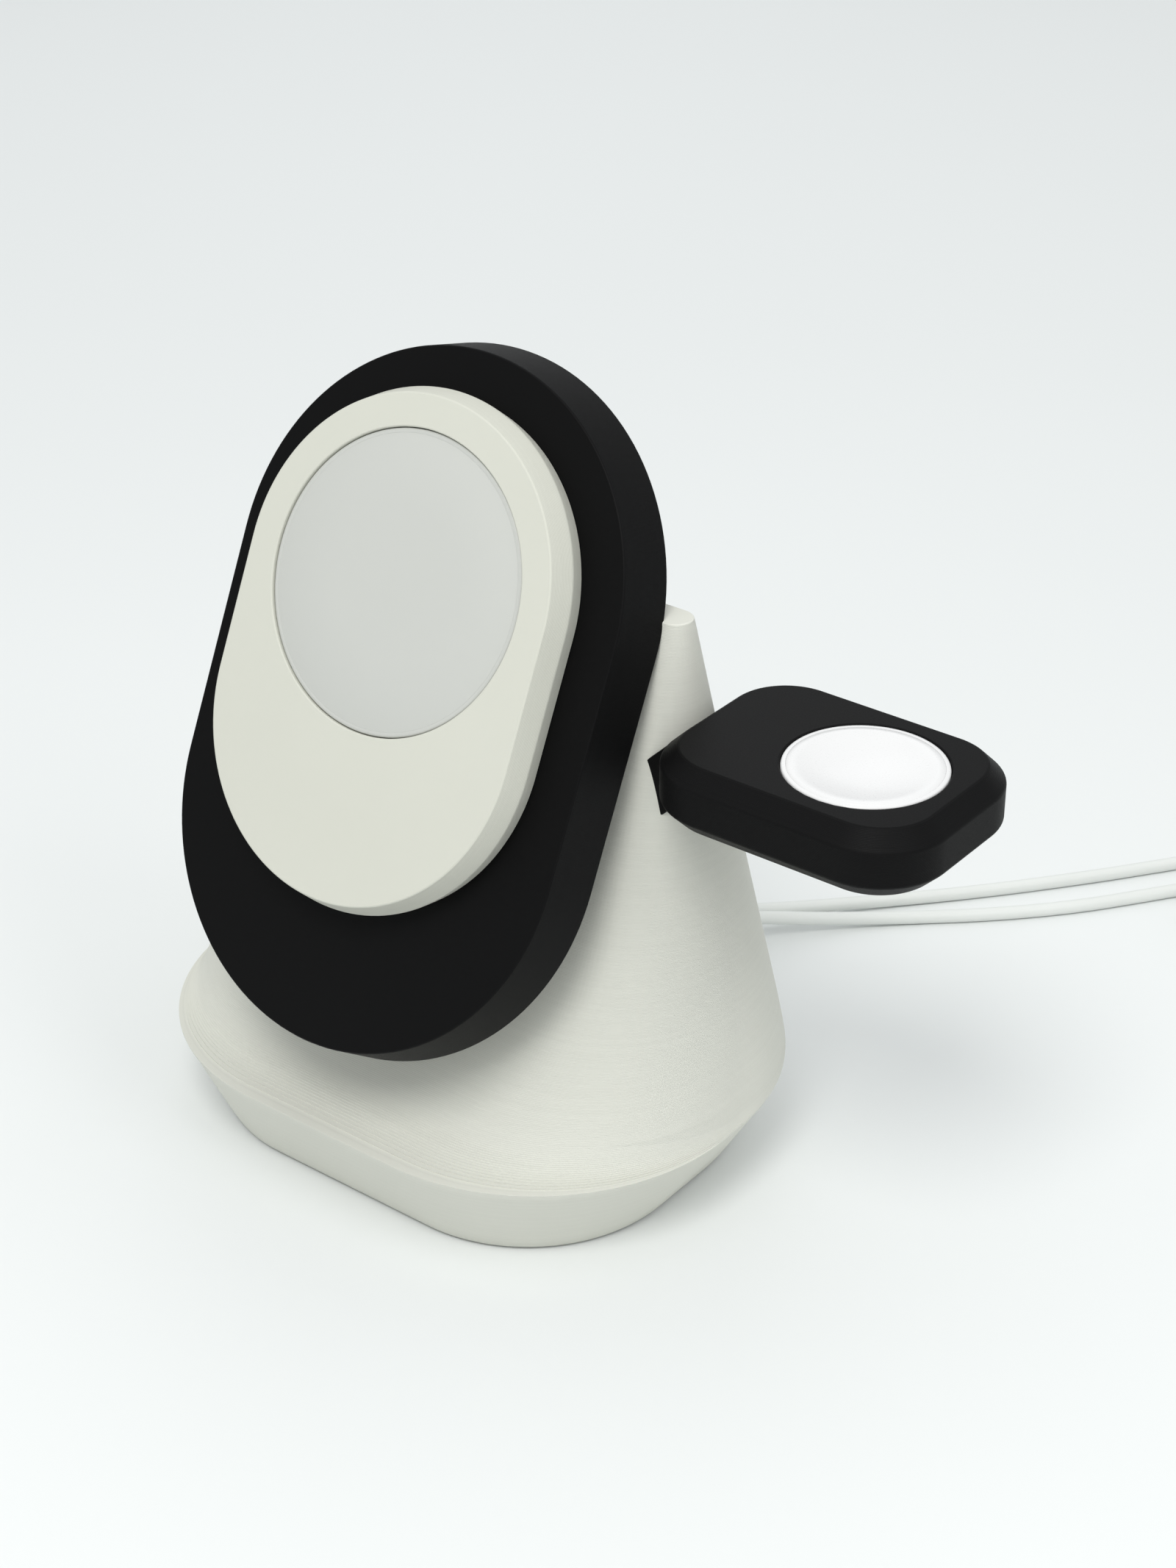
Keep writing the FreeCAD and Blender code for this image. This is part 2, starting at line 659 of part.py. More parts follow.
def make_base_cover():
    body = new_body("base_cover")
    inset = dim("shell_wall") + dim("cover_gap")
    add_feature(body, "Pad", lower_sketch(body, 0.0, inset), "cover_thick")
    holes = new_sketch(body, offset=FLOOR)
    for x, y in COVER_SCREWS:
        add_circle(holes, x, y, SCREW_HOLE)
    add_feature(body, "Pocket", holes, "cover_thick", back=True)
    heads = new_sketch(body, offset=FLOOR)
    for x, y in COVER_SCREWS:
        add_circle(heads, x, y, HEAD_HOLE)
    add_feature(body, "Pocket", heads, HEAD_SEAT, back=True)
    seat = new_sketch(body, offset=FLOOR)
    gap = dim("cover_gap")
    add_rounded(seat, MAT_WIDE + gap * 2, MAT_DEEP + gap * 2, MAT_ROUND + gap)
    add_feature(body, "Pocket", seat, "mat_sunk", back=True)
    return body


def make_base_mat():
    body = new_body("base_mat")
    sketch = new_sketch(body)
    add_rounded(sketch, MAT_WIDE, MAT_DEEP, MAT_ROUND)
    add_feature(body, "Pad", sketch, FLOOR + dim("mat_sunk"))
    return body


def make_ballast_plate():
    body = new_body("ballast_plate")
    sketch = new_sketch(body, offset=FLOOR + dim("cover_thick"))
    inset = dim("shell_wall") + dim("ledge_wide") + dim("ballast_gap")
    wide, deep = FOOT_WIDE - inset * 2, FOOT_DEEP - inset * 2
    add_rounded(sketch, wide, deep, corner_radius("ballast_round", wide, deep))
    add_feature(body, "Pad", sketch, "ballast_thick")
    return body


def make_cord_clamp():
    body = new_body("cord_clamp")
    sketch = new_sketch(body, offset=CLAMP_LOW)
    add_rounded(sketch, "clamp_wide", "clamp_deep", 1.0, 0, CLAMP_Y)
    add_feature(body, "Pad", sketch, "clamp_thick")
    grooves = upright_sketch(body, CLAMP_Y - dim("clamp_deep"))
    for side in (1, -1):
        add_circle(grooves, OUTLET_X * side, "outlet_high", "cord_wide")
    add_feature(body, "Pocket", grooves, dim("clamp_deep") * 2)
    holes = new_sketch(body, offset=CLAMP_LOW)
    for x, y in CLAMP_SCREWS:
        add_circle(holes, x, y, SCREW_HOLE)
    add_feature(body, "Pocket", holes, "clamp_thick", back=True)
    return body


def make_grommet(label, side):
    """A sleeve in the rear wall that one lead leaves through."""
    body = new_body(label)
    sketch = upright_sketch(body, GROMMET_END)
    add_circle(sketch, OUTLET_X * side, "outlet_high", "grommet_wide")
    add_circle(sketch, OUTLET_X * side, "outlet_high", "cord_wide")
    add_feature(body, "Pad", sketch, "grommet_long")
    return body


# The leaning plate; every piece is drawn with its Z leaving the puck's face

def make_pad_housing():
    body = new_body("pad_housing")
    back = new_sketch(body, offset=PAD_BACK)
    add_stadium(back, "pad_back_wide", "pad_drop")
    front = new_sketch(body, offset=PLATE_BACK)
    add_stadium(front, "pad_front_wide", "pad_drop")
    add_loft(body, "AdditiveLoft", [back, front], True)
    heads = new_sketch(body, offset=PLATE_BACK)
    for x, y in PAD_SCREWS:
        add_circle(heads, x, y, HEAD_HOLE)
    add_feature(body, "Pocket", heads, HEAD_SEAT)
    holes = new_sketch(body, offset=PLATE_BACK)
    for x, y in PAD_SCREWS + CARRIER_SCREWS:
        add_circle(holes, x, y, SCREW_HOLE)
    add_circle(holes, 0, "lead_hole_y", "lead_hole_wide")
    add_feature(body, "Pocket", holes, "pad_thick")
    pegs = new_sketch(body, offset=PLATE_BACK)
    for x, y in PEGS:
        add_circle(pegs, x, y, dim("peg_wide") + dim("screw_play"))
    add_feature(body, "Pocket", pegs, dim("peg_long") + dim("screw_play"))
    rear = new_sketch(body, offset=PAD_BACK)
    for x, y in CARRIER_SCREWS:
        add_circle(rear, x, y, HEAD_HOLE)
    add_feature(body, "Pocket", rear, HEAD_SEAT, back=True)
    lean(body)
    return body


def make_puck_carrier():
    body = new_body("puck_carrier")
    levels = (
        ("plate_back_wide", PLATE_BACK),
        ("plate_belly_wide", dim("puck_sunk") - dim("plate_belly_deep")),
        ("plate_face_wide", dim("puck_sunk")))
    outlines = []
    for wide, height in levels:
        outlines.append(new_sketch(body, offset=height))
        add_stadium(outlines[-1], wide, "plate_drop")
    add_loft(body, "AdditiveLoft", outlines, True)
    seat = new_sketch(body, offset=dim("puck_sunk"))
    add_circle(seat, 0, 0, dim("puck_wide") + dim("puck_gap") * 2)
    add_feature(body, "Pocket", seat, dim("puck_sunk") + dim("puck_thick"))
    # channel for the lead, open at the back, from the seat to the hole in the housing
    channel = new_sketch(body, offset=PLATE_BACK)
    end = dim("lead_hole_y") - dim("lead_hole_wide") / 2
    start = dim("relief_wide") - dim("puck_wide") / 2
    add_rounded(channel, "lead_hole_wide", start - end, 1.0, 0, (start + end) / 2)
    channel_top = dim("relief_wide") / 2 + dim("puck_gap") - dim("phone_relief_sunk")
    add_feature(body, "Pocket", channel, channel_top - PLATE_BACK, back=True)
    pegs = new_sketch(body, offset=PLATE_BACK)
    for x, y in PEGS:
        add_circle(pegs, x, y, "peg_wide")
    add_feature(body, "Pad", pegs, "peg_long", back=True)
    holes = new_sketch(body, offset=PLATE_BACK)
    for x, y in CARRIER_SCREWS:
        add_circle(holes, x, y, THREAD_HOLE)
    add_feature(body, "Pocket", holes, dim("carrier_screw_bite") + dim("screw_play"), back=True)
    lean(body)
    return body


def make_puck_case(label, wide, thick, wall):
    """A shallow cup with broken outer edges; its rim lies at zero height."""
    body = new_body(label)
    out, deep, wall = dim(wide) / 2, dim(thick), dim(wall)
    edge = dim("puck_edge")
    add_revolve(body, [
        (0, -deep), (out - edge * 2, -deep), (out, edge * 2 - deep), (out, -edge), (out - edge, 0),
        (out - wall, 0), (out - wall, dim("puck_floor") - deep), (0, dim("puck_floor") - deep)])
    return body


def make_magnets():
    """The ring of magnets in the phone puck, evenly spaced segments as one group."""
    low = SIZES["puck_floor"] - SIZES["puck_thick"]
    inner, outer = SIZES["magnet_ring_in"], SIZES["magnet_ring_out"]
    count = int(SIZES["magnet_count"])
    span = 360.0 / count - SIZES["magnet_space"]
    pieces = []
    for i in range(count):
        whole = Part.makeCylinder(outer, SIZES["magnet_thick"], Vector(0, 0, low), Vector(0, 0, 1), span)
        bore = Part.makeCylinder(inner, SIZES["magnet_thick"], Vector(0, 0, low), Vector(0, 0, 1), span)
        piece = whole.cut(bore)
        piece.rotate(Vector(0, 0, 0), Vector(0, 0, 1), 360.0 * i / count)
        pieces.append(piece)
    ring = doc.addObject("Part::Feature", "phone_magnets")
    ring.Label = "phone_magnets"
    ring.Shape = Part.makeCompound(pieces)
    lean(ring)
    return ring


def make_relief(label, case, turned):
    """A tapered sleeve round the lead, its root fitted to the round side of a puck's case."""
    root = dim("puck_wall") - dim("puck_edge") / 2
    cone = doc.addObject("Part::Cone", label + "_cone")
    bind(cone, "Radius1", dim("relief_wide") / 2)
    bind(cone, "Radius2", dim("relief_tip") / 2)
    bind(cone, "Height", root + "relief_long")
    bore = doc.addObject("Part::Cylinder", label + "_bore")
    bind(bore, "Radius", dim("cord_wide") / 2)
    bind(bore, "Height", root + "relief_long")
    sleeve = doc.addObject("Part::Cut", label + "_sleeve")
    sleeve.Base = cone
    sleeve.Tool = bore
    sleeve.Placement = turned
    fitted = doc.addObject("Part::Cut", label)
    fitted.Label = label
    fitted.Base = sleeve
    fitted.Tool = case
    return sleeve


# The arm; its pieces are drawn in place

def make_watch_arm():
    body = new_body("watch_arm")
    bevel = dim("arm_bevel")
    levels = (
        (ARM_LOW, bevel), (ARM_LOW + bevel, 0), (dim("arm_top") - bevel, 0), (dim("arm_top"), bevel))
    outlines = []
    for height, inset in levels:
        outlines.append(new_sketch(body, offset=height))
        inset = dim(inset)
        add_rounded(
            outlines[-1], dim("arm_long") - inset * 2, dim("arm_deep") - inset * 2,
            dim("arm_round") - inset, ARM_X, "arm_y")
    add_loft(body, "AdditiveLoft", outlines, True)
    neck = upright_sketch(body, dim("neck_front"))
    add_polygon(neck, neck_outline(0.0))
    add_feature(body, "Pad", neck, "neck_deep", back=True)
    seat = new_sketch(body, offset=dim("arm_top"))
    add_circle(seat, WATCH_X, "arm_y", dim("watch_wide") + dim("watch_gap") * 2)
    add_feature(body, "Pocket", seat, "watch_thick")
    cover_seat = new_sketch(body, offset=ARM_LOW)
    add_rounded(cover_seat, "arm_cover_long", "arm_cover_deep", "arm_cover_round", ARM_COVER_X, "arm_y")
    add_feature(body, "Pocket", cover_seat, "arm_cover_thick", back=True)
    # slot above the cover for the lead, from the seat towards the neck
    slot = new_sketch(body, offset=ARM_LOW)
    slot_end = WATCH_X - dim("watch_wide") / 2 + dim("relief_wide") / 2
    slot_long = slot_end - ARM_SLOT_START
    add_rounded(slot, slot_long, "lead_hole_wide", 1.0, slot_end - slot_long / 2, "arm_y")
    slot_top = dim("arm_thick") - dim("watch_relief_sunk") + dim("lead_hole_wide") / 2
    add_feature(body, "Pocket", slot, slot_top, back=True)
    # channel for the lead, from the slot down through the neck
    channel = upright_sketch(body, dim("arm_y") - dim("neck_channel") / 2)
    half = dim("lead_hole_wide") / 2
    skew = half * math.tan(math.pi / 8)
    low, high = dim("neck_lead_high"), dim("neck_lead_high") + LEAD_DROP
    start, end = NECK_END - dim("neck_gap"), ARM_SLOT_START + half
    add_polygon(channel, [
        (start, low - half), (NECK_LEAD_X + skew, low - half), (LEAD_CORNER + skew, high - half),
        (end, high - half), (end, high + half), (LEAD_CORNER - skew, high + half),
        (NECK_LEAD_X - skew, low + half), (start, low + half)])
    add_feature(body, "Pocket", channel, "neck_channel")
    # screw holes in the neck's underside
    holes = new_sketch(body, offset=dim("neck_low"))
    for x, y in ARM_SCREWS:
        add_circle(holes, x, y, THREAD_HOLE)
    add_feature(body, "Pocket", holes, dim("arm_screw_bite") + dim("screw_play"), back=True)
    return body


def make_arm_cover():
    body = new_body("arm_cover")
    gap = dim("arm_cover_gap")
    sketch = new_sketch(body, offset=ARM_LOW)
    add_rounded(
        sketch, dim("arm_cover_long") - gap * 2, dim("arm_cover_deep") - gap * 2,
        dim("arm_cover_round") - gap, ARM_COVER_X, "arm_y")
    add_feature(body, "Pad", sketch, "arm_cover_thick")
    return body


def make_watch_face():
    """A flat ring round a shallow round dish; drawn from zero height down."""
    body = new_body("watch_puck_face")
    out = (dim("watch_wide") / 2 - dim("puck_wall")).number
    dish, deep = SIZES["dish_wide"] / 2, SIZES["dish_deep"]
    low = -SIZES["dish_deep"] - SIZES["face_thick"]
    ball = (dish ** 2 + deep ** 2) / (2 * deep)
    sketch = new_sketch(body, "XZ_Plane")
    centre = Vector(0, ball - deep, 0)
    start, end = Vector(0, -deep, 0), Vector(dish, 0, 0)
    half = math.asin(dish / ball) / 2
    middle = Vector(ball * math.sin(half), centre.y - ball * math.cos(half), 0)
    corners = [end, Vector(out, 0, 0), Vector(out, low, 0), Vector(0, low, 0), start]
    sketch.addGeometry(Part.Arc(start, middle, end))
    for a, b in zip(corners, corners[1:]):
        sketch.addGeometry(Part.LineSegment(a, b))
    sketch.addConstraint(Sketcher.Constraint("Coincident", 0, 2, 1, 1))
    for i in range(1, 4):
        sketch.addConstraint(Sketcher.Constraint("Coincident", i, 2, i + 1, 1))
    sketch.addConstraint(Sketcher.Constraint("Coincident", 4, 2, 0, 1))
    held = (
        (0, 1, 0, -dim("dish_deep")), (0, 2, dim("dish_wide") / 2, 0),
        (1, 2, dim("watch_wide") / 2 - dim("puck_wall"), 0),
        (3, 2, 0, -dim("dish_deep") - dim("face_thick")))
    for geo, point, x, y in held:
        hold(sketch, "DistanceX", -1, 1, geo, point, x)
        hold(sketch, "DistanceY", -1, 1, geo, point, y)
    sketch.addConstraint(Sketcher.Constraint("Vertical", 2))
    sketch.addConstraint(Sketcher.Constraint("Horizontal", 3))
    sketch.addConstraint(Sketcher.Constraint("PointOnObject", 0, 3, -2))
    turn = body.newObject("PartDesign::Revolution", "watch_face_turn")
    turn.Profile = sketch
    turn.ReferenceAxis = (sketch, ["V_Axis"])
    turn.Angle = 360
    return body


# Leads and cords

def smooth_path(name, points):
    """Straight runs joined by tangent arcs, each as large as its two runs allow."""
    points = [Vector(*p) for p in points]
    edges, radii = [], []
    here = points[0]
    for before, corner, after in zip(points, points[1:], points[2:]):
        to_corner, to_after = corner - before, after - corner
        turn = to_corner.getAngle(to_after)
        cut = 0.45 * min(to_corner.Length, to_after.Length)
        radii.append(cut / math.tan(turn / 2))
        inward = (before - corner).normalize()
        outward = (after - corner).normalize()
        start, end = corner + inward * cut, corner + outward * cut
        towards = (inward + outward).normalize()
        reach = radii[-1] / math.cos(turn / 2) - radii[-1]
        edges.append(Part.LineSegment(here, start).toShape())
        edges.append(Part.Arc(start, corner + towards * reach, end).toShape())
        here = end
    edges.append(Part.LineSegment(here, points[-1]).toShape())
    print(name, "arc radii", [round(r, 1) for r in radii])
    return Part.Wire(edges)


def sweep(path, wide):
    """A round tube along a path."""
    start = path.Edges[0]
    ring = Part.Circle(start.valueAt(start.FirstParameter), start.tangentAt(start.FirstParameter), wide / 2)
    return path.makePipeShell([Part.Wire(ring.toShape())], True, True)


def make_tube(label, points, cut_by=None):
    path = smooth_path(label, points)
    wide = SIZES["cord_wide"]
    shape = sweep(path, wide)
    print(label, "volume", round(shape.Volume), "of", round(math.pi * wide ** 2 / 4 * path.Length),
          "length", round(path.Length, 1))
    if cut_by is not None:
        shape = shape.cut(cut_by)
    tube = doc.addObject("Part::Feature", label)
    tube.Label = label
    tube.Shape = shape
    return tube


def local_point(x, y, z):
    """A point of the leaning plate's own frame in the model's frame."""
    return tuple(lean_placement().multVec(Vector(x, y, z)))


CORD_Z = SIZES["cord_wide"] / 2
OUT_Y = GROMMET_END.number
OUT_Z = SIZES["outlet_high"]
SIDE = OUTLET_X.number
INNER_Y = CLAMP_Y.number - 12.5
CASE_IN = SIZES["puck_wall"] - SIZES["puck_edge"] / 2
PHONE_ROOT = SIZES["puck_wide"] / 2 - CASE_IN
WATCH_ROOT = WATCH_X.number - SIZES["watch_wide"] / 2 + CASE_IN
PHONE_SUNK = SIZES["phone_relief_sunk"]
PHONE_HOLE = SIZES["lead_hole_y"]
WATCH_HIGH = SIZES["arm_top"] - SIZES["watch_relief_sunk"]
PHONE_LEAD = [
    local_point(0, -PHONE_ROOT, -PHONE_SUNK),
    local_point(0, PHONE_HOLE + SIZES["lead_slant"], -PHONE_SUNK),
    local_point(0, PHONE_HOLE, -PHONE_SUNK - SIZES["lead_slant"]),
    local_point(0, PHONE_HOLE, PAD_BACK.number - SIZES["boss_long"] - 12),
    (-3.0, INNER_Y - 8.0, 28.0),
    (-SIDE, INNER_Y, OUT_Z),
    (-SIDE, OUT_Y, OUT_Z)]
WATCH_LEAD = [
    (WATCH_ROOT, SIZES["arm_y"], WATCH_HIGH),
    (LEAD_CORNER.number, SIZES["arm_y"], WATCH_HIGH),
    (NECK_LEAD_X.number, SIZES["arm_y"], SIZES["neck_lead_high"]),
    (NECK_END.number - 11.0, SIZES["arm_y"], SIZES["neck_lead_high"]),
    (17.0, 4.5, 74.0),
    (6.0, INNER_Y - 8.0, 30.0),
    (SIDE, INNER_Y, OUT_Z),
    (SIDE, OUT_Y, OUT_Z)]
PHONE_CORD = [
    (-SIDE, OUT_Y, OUT_Z), (-SIDE, 58.0, OUT_Z), (-0.9, 72.0, 9.6), (7.4, 87.0, 4.8), (19.4, 105.5, 1.9),
    (39.4, 127.9, CORD_Z), (57.6, 150.5, CORD_Z), (71.4, 169.6, CORD_Z), (86.6, 190.4, CORD_Z),
    (104.0, 212.0, CORD_Z)]
WATCH_CORD = [
    (SIDE, OUT_Y, OUT_Z), (SIDE, 58.0, OUT_Z), (6.2, 71.5, 10.2), (12.2, 84.0, 6.4), (21.0, 97.0, 2.9),
    (33.5, 110.0, CORD_Z), (48.0, 122.8, CORD_Z), (61.4, 137.2, CORD_Z), (71.0, 150.4, CORD_Z),
    (79.6, 162.6, CORD_Z), (90.0, 174.0, CORD_Z)]


def coil_centre(points):
    """The middle of a coil that a cord runs into, turning right, at its last point."""
    end, before = Vector(*points[-1]), Vector(*points[-2])
    way = (end - before).normalize()
    reach = SIZES["coil_radius"] + SIZES["cord_wide"] / 2
    return end + Vector(way.y, -way.x, 0) * reach


def make_cord_coil(label, middle):
    """The outer shape of a neat round coil lying on the floor."""
    body = new_body(label)
    inner, outer = dim("coil_radius") - dim("coil_wide") / 2, dim("coil_radius") + dim("coil_wide") / 2
    top, edge = dim("coil_high"), dim("coil_edge")
    add_revolve(body, [
        (inner + edge, 0), (outer - edge, 0), (outer, edge), (outer, top - edge),
        (outer - edge, top), (inner + edge, top), (inner, top - edge), (inner, edge)])
    put(body, middle.x, middle.y)
    return body


def make_plug(label, coil, middle):
    """A flat plug beside its coil: tapered relief from the coil's side, moulded grip and metal tip."""
    body = new_body(label + "_body")
    reach = SIZES["coil_radius"] + SIZES["cord_wide"] / 2
    height = dim("plug_thick") / 2
    sizes = (
        (0.0, dim("relief_tip"), dim("relief_tip"), dim("relief_tip") * 0.45),
        ("plug_relief_long", dim("plug_wide") * 0.55, dim("plug_thick") * 0.8, dim("plug_thick") * 0.35))
    outlines = []
    for along, wide, thick, radius in sizes:
        outlines.append(upright_sketch(body, -dim(along)))
        add_rounded(outlines[-1], wide, thick, radius, 0, height)
    add_loft(body, "AdditiveLoft", outlines, True)
    grip = upright_sketch(body, -dim("plug_relief_long"))
    add_rounded(grip, "plug_wide", "plug_thick", "plug_round", 0, height)
    add_feature(body, "Pad", grip, "plug_long")
    tip = upright_sketch(body, -dim("plug_relief_long") - dim("plug_long"))
    add_rounded(tip, "plug_tip_wide", "plug_tip_thick", dim("plug_tip_thick") * 0.48, 0, height)
    add_feature(body, "Pad", tip, "plug_tip_long")
    put(body, middle.x + reach, middle.y - SIZES["coil_wide"])
    fitted = doc.addObject("Part::Cut", label)
    fitted.Label = label
    fitted.Base = body
    fitted.Tool = coil
    return fitted


# Assembly

make_base_shell()
make_base_cover()
make_base_mat()
cover_hold = dim("cover_thick") - HEAD_SEAT + "cover_screw_bite"
screw_group("cover_screws", COVER_SCREWS, FLOOR + HEAD_SEAT, cover_hold, True)
make_ballast_plate()
make_cord_clamp()
clamp_hold = CLAMP_LOW + "clamp_thick" - SADDLE_TOP + "clamp_screw_bite"
screw_group("clamp_screws", CLAMP_SCREWS, CLAMP_LOW + dim("clamp_thick"), clamp_hold)
make_grommet("phone_grommet", -1)
make_grommet("watch_grommet", 1)

make_pad_housing()
make_puck_carrier()
pad_hold = dim("pad_thick") - HEAD_SEAT + dim("pad_screw_bite")
lean(screw_group("pad_screws", PAD_SCREWS, PLATE_BACK - HEAD_SEAT, pad_hold))
carrier_hold = dim("pad_thick") - HEAD_SEAT + dim("carrier_screw_bite")
lean(screw_group("carrier_screws", CARRIER_SCREWS, PAD_BACK + HEAD_SEAT, carrier_hold, True))

phone_case = make_puck_case("phone_puck_case", "puck_wide", "puck_thick", "puck_wall")
lean(phone_case)
face_wide = dim("puck_wide") - dim("puck_wall") * 2
lean(disc("phone_puck_face", face_wide, "face_thick", -dim("face_thick")))
level = dim("puck_floor") - dim("puck_thick")
lean(disc("phone_board", "phone_board_wide", "board_thick", level))
lean(disc("phone_ferrite", "phone_ferrite_wide", "phone_ferrite_thick", level + "board_thick"))
coil_level = level + dim("board_thick") + dim("phone_ferrite_thick")
lean(disc("phone_coil", "phone_coil_wide", "phone_coil_thick", coil_level, "phone_coil_bore"))
make_magnets()

make_watch_arm()
make_arm_cover()
arm_hold = dim("shelf_thick") + "arm_screw_bite"
screw_group("arm_screws", ARM_SCREWS, dim("neck_low") - "shelf_thick", arm_hold, True)
watch_case = make_puck_case("watch_puck_case", "watch_wide", "watch_thick", "puck_wall")
put(watch_case, WATCH_X, "arm_y", "arm_top")
put(make_watch_face(), WATCH_X, "arm_y", "arm_top")
level = dim("puck_floor") - dim("watch_thick")
put(disc("watch_board", "watch_board_wide", "board_thick", level), WATCH_X, "arm_y", "arm_top")
level = level + "board_thick"
put(disc("watch_coil", "watch_coil_wide", "watch_coil_thick", level, "watch_coil_bore"),
    WATCH_X, "arm_y", "arm_top")
put(disc("watch_magnet", "watch_magnet_wide", "watch_magnet_thick", level), WATCH_X, "arm_y", "arm_top")

# Strain reliefs, leads, cords and plugs

phone_root = dim("puck_wide") / 2 - dim("puck_wall") + dim("puck_edge") / 2
phone_turn = FreeCAD.Placement(Vector(0, 0, 0), FreeCAD.Rotation(Vector(1, 0, 0), 180 - SIZES["pad_tilt"]))
relief = make_relief("phone_strain_relief", phone_case, phone_turn)
relief.setExpression("Placement.Rotation.Angle", "(180 - sizes.pad_tilt) * 1 deg")
sunk = dim("phone_relief_sunk")
bind(relief, "Placement.Base.y", dim("puck_y") - phone_root * sine(TILT) + sunk * cosine(TILT))
bind(relief, "Placement.Base.z", dim("puck_z") - phone_root * cosine(TILT) - sunk * sine(TILT))
watch_turn = FreeCAD.Placement(Vector(0, 0, 0), FreeCAD.Rotation(Vector(0, 1, 0), -90))
relief = make_relief("watch_strain_relief", watch_case, watch_turn)
watch_root = WATCH_X - dim("watch_wide") / 2 + dim("puck_wall") - dim("puck_edge") / 2
put(relief, watch_root, "arm_y", dim("arm_top") - "watch_relief_sunk")
doc.recompute()
make_tube("phone_lead", PHONE_LEAD, phone_case.Shape)
make_tube("watch_lead", WATCH_LEAD, watch_case.Shape)
for name, points in (("phone", PHONE_CORD), ("watch", WATCH_CORD)):
    middle = coil_centre(points)
    coil = make_cord_coil(name + "_cord_coil", middle)
    doc.recompute()
    make_tube(name + "_cord", points, coil.Shape)
    make_plug(name + "_plug", coil, middle)
doc.recompute()

# Checks and export

NODES = (
    "base_shell", "base_cover", "base_mat", "cover_screws", "ballast_plate", "cord_clamp",
    "clamp_screws", "phone_grommet", "watch_grommet", "pad_housing", "puck_carrier", "pad_screws",
    "carrier_screws", "phone_puck_case", "phone_puck_face", "phone_magnets", "phone_coil",
    "phone_ferrite", "phone_board", "phone_strain_relief", "phone_lead", "watch_arm", "arm_cover",
    "arm_screws", "watch_puck_case", "watch_puck_face", "watch_magnet", "watch_coil", "watch_board",
    "watch_strain_relief", "watch_lead", "phone_cord", "phone_cord_coil", "phone_plug",
    "watch_cord", "watch_cord_coil", "watch_plug")

faults = [thing.Name for thing in doc.Objects if "Invalid" in thing.State or "Error" in thing.State]
for node in NODES:
    shape = doc.getObjectsByLabel(node)[0].Shape
    if shape.isNull() or not shape.isValid() or not shape.Solids:
        faults.append(node)
if faults:
    raise RuntimeError("faulty objects: %s" % faults)

os.makedirs("parts", exist_ok=True)
for node in NODES:
    shape = doc.getObjectsByLabel(node)[0].Shape
    shape.exportStep("parts/%s.step" % node)
    print(node, len(shape.Solids), "solids", round(shape.Volume), "mm3")
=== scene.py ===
"""Blender model of a two-device wireless charging station: a printed bell-shaped base with a
leaning back plate, a round phone puck, a side arm with a dished watch puck, and two white leads."""

import math

import bmesh
import bpy
from mathutils import Matrix, Vector


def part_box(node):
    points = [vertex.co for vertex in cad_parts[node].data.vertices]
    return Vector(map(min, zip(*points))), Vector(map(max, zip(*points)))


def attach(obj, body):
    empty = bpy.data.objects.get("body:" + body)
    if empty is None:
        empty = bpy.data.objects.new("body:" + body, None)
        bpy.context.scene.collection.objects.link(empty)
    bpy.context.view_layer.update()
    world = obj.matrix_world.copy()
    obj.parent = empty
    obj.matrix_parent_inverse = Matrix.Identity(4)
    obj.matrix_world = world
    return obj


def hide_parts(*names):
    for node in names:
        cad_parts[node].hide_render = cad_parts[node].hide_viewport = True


bl_info = {
    "name": "Wireless charging station",
    "version": (1, 0, 0),
    "blender": (4, 5, 0),
    "location": "3D View > Sidebar > Station",
    "description": "Builds a printed charging stand with a phone puck, a watch arm and two leads",
    "category": "Add Mesh",
}

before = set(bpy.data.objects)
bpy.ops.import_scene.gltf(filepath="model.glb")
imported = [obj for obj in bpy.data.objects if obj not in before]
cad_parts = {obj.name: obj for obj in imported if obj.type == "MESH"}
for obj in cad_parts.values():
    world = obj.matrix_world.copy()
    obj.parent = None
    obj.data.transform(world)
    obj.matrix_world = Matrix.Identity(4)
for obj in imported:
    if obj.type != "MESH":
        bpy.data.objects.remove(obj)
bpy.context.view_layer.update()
MM = 0.001


# sizes and colours a user would change

def length(name, text, millimetres):
    return bpy.props.FloatProperty(
        name=name, description=text, default=millimetres * MM, min=0.0, unit="LENGTH", precision=5)


def colour(name, text, value):
    return bpy.props.FloatVectorProperty(
        name=name, description=text, default=value, size=4, min=0.0, max=1.0, subtype="COLOR")


def amount(name, text, value):
    return bpy.props.FloatProperty(name=name, description=text, default=value, min=0.0)


class StationBase(bpy.types.PropertyGroup):
    rim_wide: length("Rim width", "Width of the base at its sharp rim", 126.5)
    rim_deep: length("Rim depth", "Depth of the base at its sharp rim", 96.0)
    rim_round: length("Rim corner", "Corner radius of the rim", 45.0)
    rim_high: length("Rim height", "Height of the rim above the table", 19.5)
    foot_wide: length("Foot width", "Width of the small footprint", 103.0)
    foot_deep: length("Foot depth", "Depth of the small footprint", 79.0)
    foot_round: length("Foot corner", "Corner radius of the footprint", 32.0)
    foot_high: length("Stand-off", "Gap between the table and the printed foot", 0.6)
    ridge_wide: length("Ridge width", "Width of the thin ridge at the top", 98.6)
    ridge_deep: length("Ridge depth", "Thickness of the thin ridge at the top", 6.5)
    ridge_round: length("Ridge corner", "Corner radius of the ridge", 3.2)
    ridge_front: length("Ridge front", "How far the ridge's front face is before the middle", 0.6)
    ridge_high: length("Ridge height", "Height of the ridge", 123.2)
    layer: length("Layer height", "Height of one printed layer", 0.28)
    white: colour("Printed white", "Colour of the printed base", (0.70, 0.705, 0.64, 1.0))


